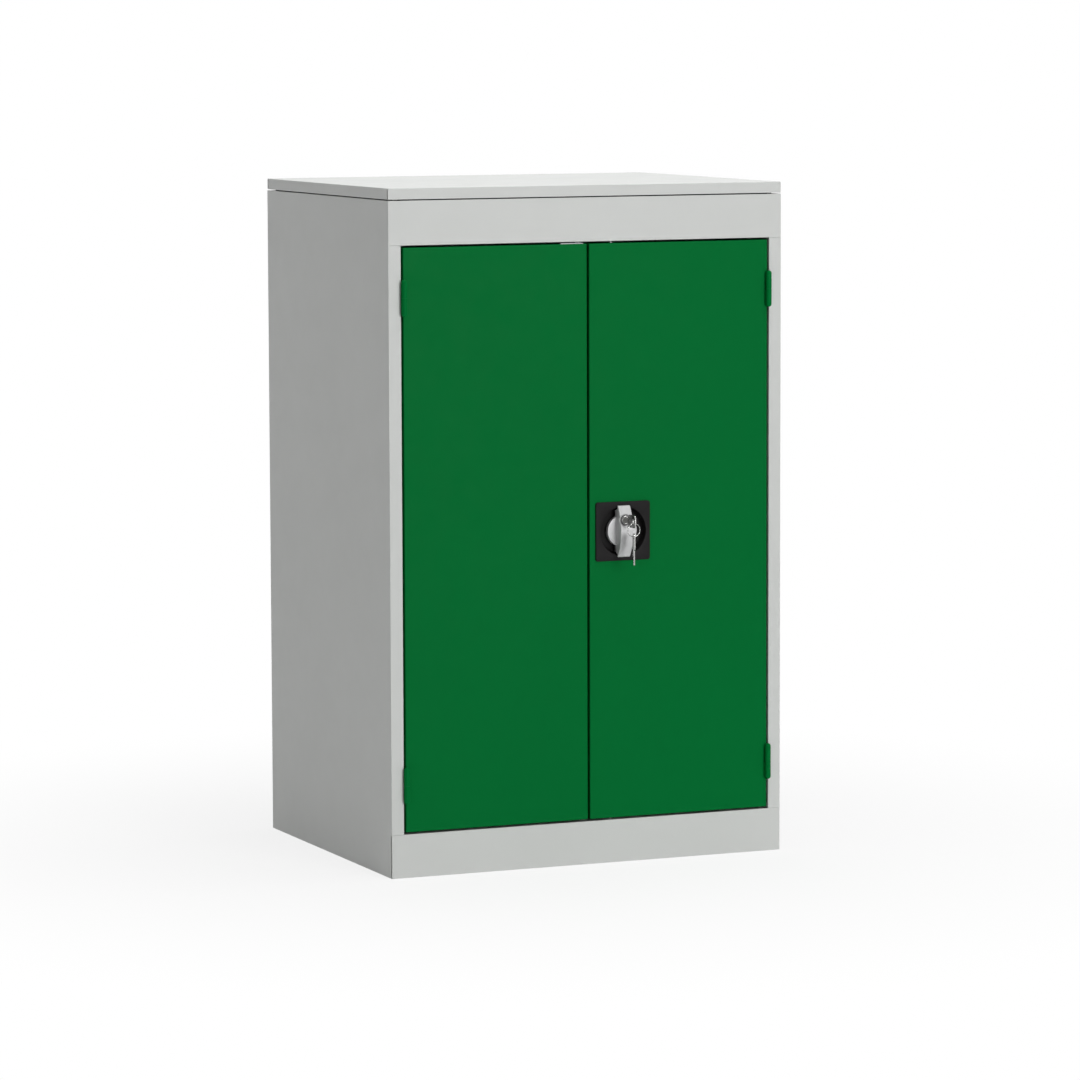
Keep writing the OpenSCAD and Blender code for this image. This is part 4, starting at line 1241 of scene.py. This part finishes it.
def knuckle_profile(length, bore):
    """Profile of a knuckle from its joint face at 0 to its dome at length."""
    hinge = bpy.context.scene.cabinet_hinges
    radius, gap, ease = hinge.radius, hinge.gap, 0.2 * MM
    dome = arc_points((0.0, length - radius), radius, 0, 90, 10)
    return np.concatenate([
        [(bore, gap), (radius - ease, gap), (radius, gap + ease)], dome,
        [(0.0, length - 1.9 * MM - radius), (bore, length - 2 * MM - radius), (bore, gap)]])


def hinge_axis(side):
    """x and y of a hinge's axis on that side, from the doors' joints."""
    name = "right_door_hinge" if side > 0 else "left_door_hinge"
    joint = next(j for j in frame["joints"] if j["name"] == name)
    return joint["pos_m"][0], joint["pos_m"][1]


def hinge_leaf(name, x_low, x_high, y_low, y_high, z_low, z_high):
    """Flat leaf in the plane of Y and Z with its corners rounded."""
    outline = rounded_rectangle(y_high - y_low, z_high - z_low, 2.0 * MM, steps=5,
                                centre=((y_low + y_high) / 2, (z_low + z_high) / 2))
    made = flat_plate(name, [outline], x_low, x_high,
                      lambda p: np.stack([p[:, 2], p[:, 0], p[:, 1]], -1))
    return soften(made, 0.25 * MM, steps=2, angle=40)


def fixed_half(node, body):
    """Lower knuckle of one hinge and its leaf on the frame."""
    hinge = bpy.context.scene.cabinet_hinges
    low, high = (np.array(v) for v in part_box(node))
    side = 1 if low[0] > 0 else -1
    x, y = hinge_axis(side)
    joint_level = float(high[2]) + hinge.gap
    length = joint_level - float(low[2])
    profile = knuckle_profile(length, hinge.pin_radius) * (1, -1)
    made = lathe(node.replace("_base", "_barrel"), profile, (x, y, joint_level), "up", 48)
    made.data.shade_smooth()
    made.data.set_sharp_from_angle(angle=math.radians(40))
    belongs(made, "green_powder_coat", body, node)
    inner = float(low[0] if side > 0 else high[0])
    leaf = hinge_leaf(node.replace("_base", "_leaf"),
                      *sorted((inner, inner + side * hinge.leaf_thickness)),
                      y + hinge.leaf_start, float(high[1]), float(low[2]) + hinge.radius,
                      joint_level - 1 * MM)
    belongs(leaf, "green_powder_coat", body)


def moving_halves(node, body):
    """Upper knuckles of one door's two hinges with their leaves on the door's edge."""
    hinge = bpy.context.scene.cabinet_hinges
    low, high = (np.array(v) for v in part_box(node))
    side = 1 if low[0] > 0 else -1
    x, y = hinge_axis(side)
    bases = {height: float(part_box(f"{height}_{node.split('_')[0]}_hinge_base")[1][2])
             for height in ("upper", "lower")}
    length = float(high[2]) - bases["upper"] - hinge.gap
    edge = float(DOOR_HIGH[0]) * side
    replaced = (node,)
    for height, base in bases.items():
        joint = base + hinge.gap
        made = lathe(f"{height}_{node.replace('_knuckles', '_barrel')}",
                     knuckle_profile(length, hinge.pin_radius + 0.05 * MM), (x, y, joint), "up",
                     48)
        made.data.shade_smooth()
        made.data.set_sharp_from_angle(angle=math.radians(40))
        belongs(made, "green_powder_coat", body, *replaced)
        replaced = ()
        leaf = hinge_leaf(f"{height}_{node.replace('_knuckles', '_leaf')}",
                          *sorted((edge, edge + side * hinge.leaf_thickness)),
                          y + hinge.leaf_start, float(high[1]), joint + 1 * MM,
                          joint + length - hinge.radius)
        belongs(leaf, "green_powder_coat", body)


REBUILT = {"escutcheon", "wing_handle", "cylinder_housing", "cylinder_plug", "key",
           "second_key", "key_ring", "upper_left_hinge_base", "lower_left_hinge_base",
           "upper_right_hinge_base", "lower_right_hinge_base", "left_door_knuckles",
           "right_door_knuckles"}


class CABINET_OT_small_parts(bpy.types.Operator):
    """Gives the small CAD parts that keep their shape their finish"""

    bl_idname = "cabinet.small_parts"
    bl_label = "Small parts"

    def execute(self, context):
        slots = {p["node"]: p["material_slot"] for p in frame["record"]["subparts"]}
        sheet = {name for group in SHEET_NODES.values() for name in group}
        for name in sorted(set(NODES) - sheet - REBUILT):
            folded_copy(name, slots[name])
        return {"FINISHED"}


class CABINET_PT_panel(bpy.types.Panel):
    """Sizes, colours and steps of the cabinet"""

    bl_idname = "CABINET_PT_panel"
    bl_label = "Tool cabinet"
    bl_space_type = "VIEW_3D"
    bl_region_type = "UI"
    bl_category = "Cabinet"

    def draw(self, context):
        layout = self.layout
        for operator in OPERATORS:
            layout.operator(operator.bl_idname)
        for attribute, group in GROUPS:
            box = layout.box()
            for key in group.__annotations__:
                box.prop(getattr(context.scene, attribute), key)


OPERATORS = [CABINET_OT_stage, CABINET_OT_sheet_metal, CABINET_OT_hinges,
             CABINET_OT_escutcheon, CABINET_OT_wing_handle, CABINET_OT_cylinder,
             CABINET_OT_keys, CABINET_OT_key_ring, CABINET_OT_small_parts]


def register():
    for _, group in GROUPS:
        bpy.utils.register_class(group)
    for operator in OPERATORS:
        bpy.utils.register_class(operator)
    bpy.utils.register_class(CABINET_PT_panel)
    for attribute, group in GROUPS:
        setattr(bpy.types.Scene, attribute, PointerProperty(type=group))


def unregister():
    for attribute, _ in GROUPS:
        delattr(bpy.types.Scene, attribute)
    bpy.utils.unregister_class(CABINET_PT_panel)
    for operator in reversed(OPERATORS):
        bpy.utils.unregister_class(operator)
    for _, group in reversed(GROUPS):
        bpy.utils.unregister_class(group)


def main():
    """Builds the stage and every piece."""
    register()
    bpy.ops.cabinet.stage()
    bpy.ops.cabinet.sheet_metal()
    bpy.ops.cabinet.hinges()
    bpy.ops.cabinet.escutcheon()
    bpy.ops.cabinet.wing_handle()
    bpy.ops.cabinet.cylinder()
    bpy.ops.cabinet.keys()
    bpy.ops.cabinet.key_ring()
    bpy.ops.cabinet.small_parts()


if __name__ == "__main__":
    main()
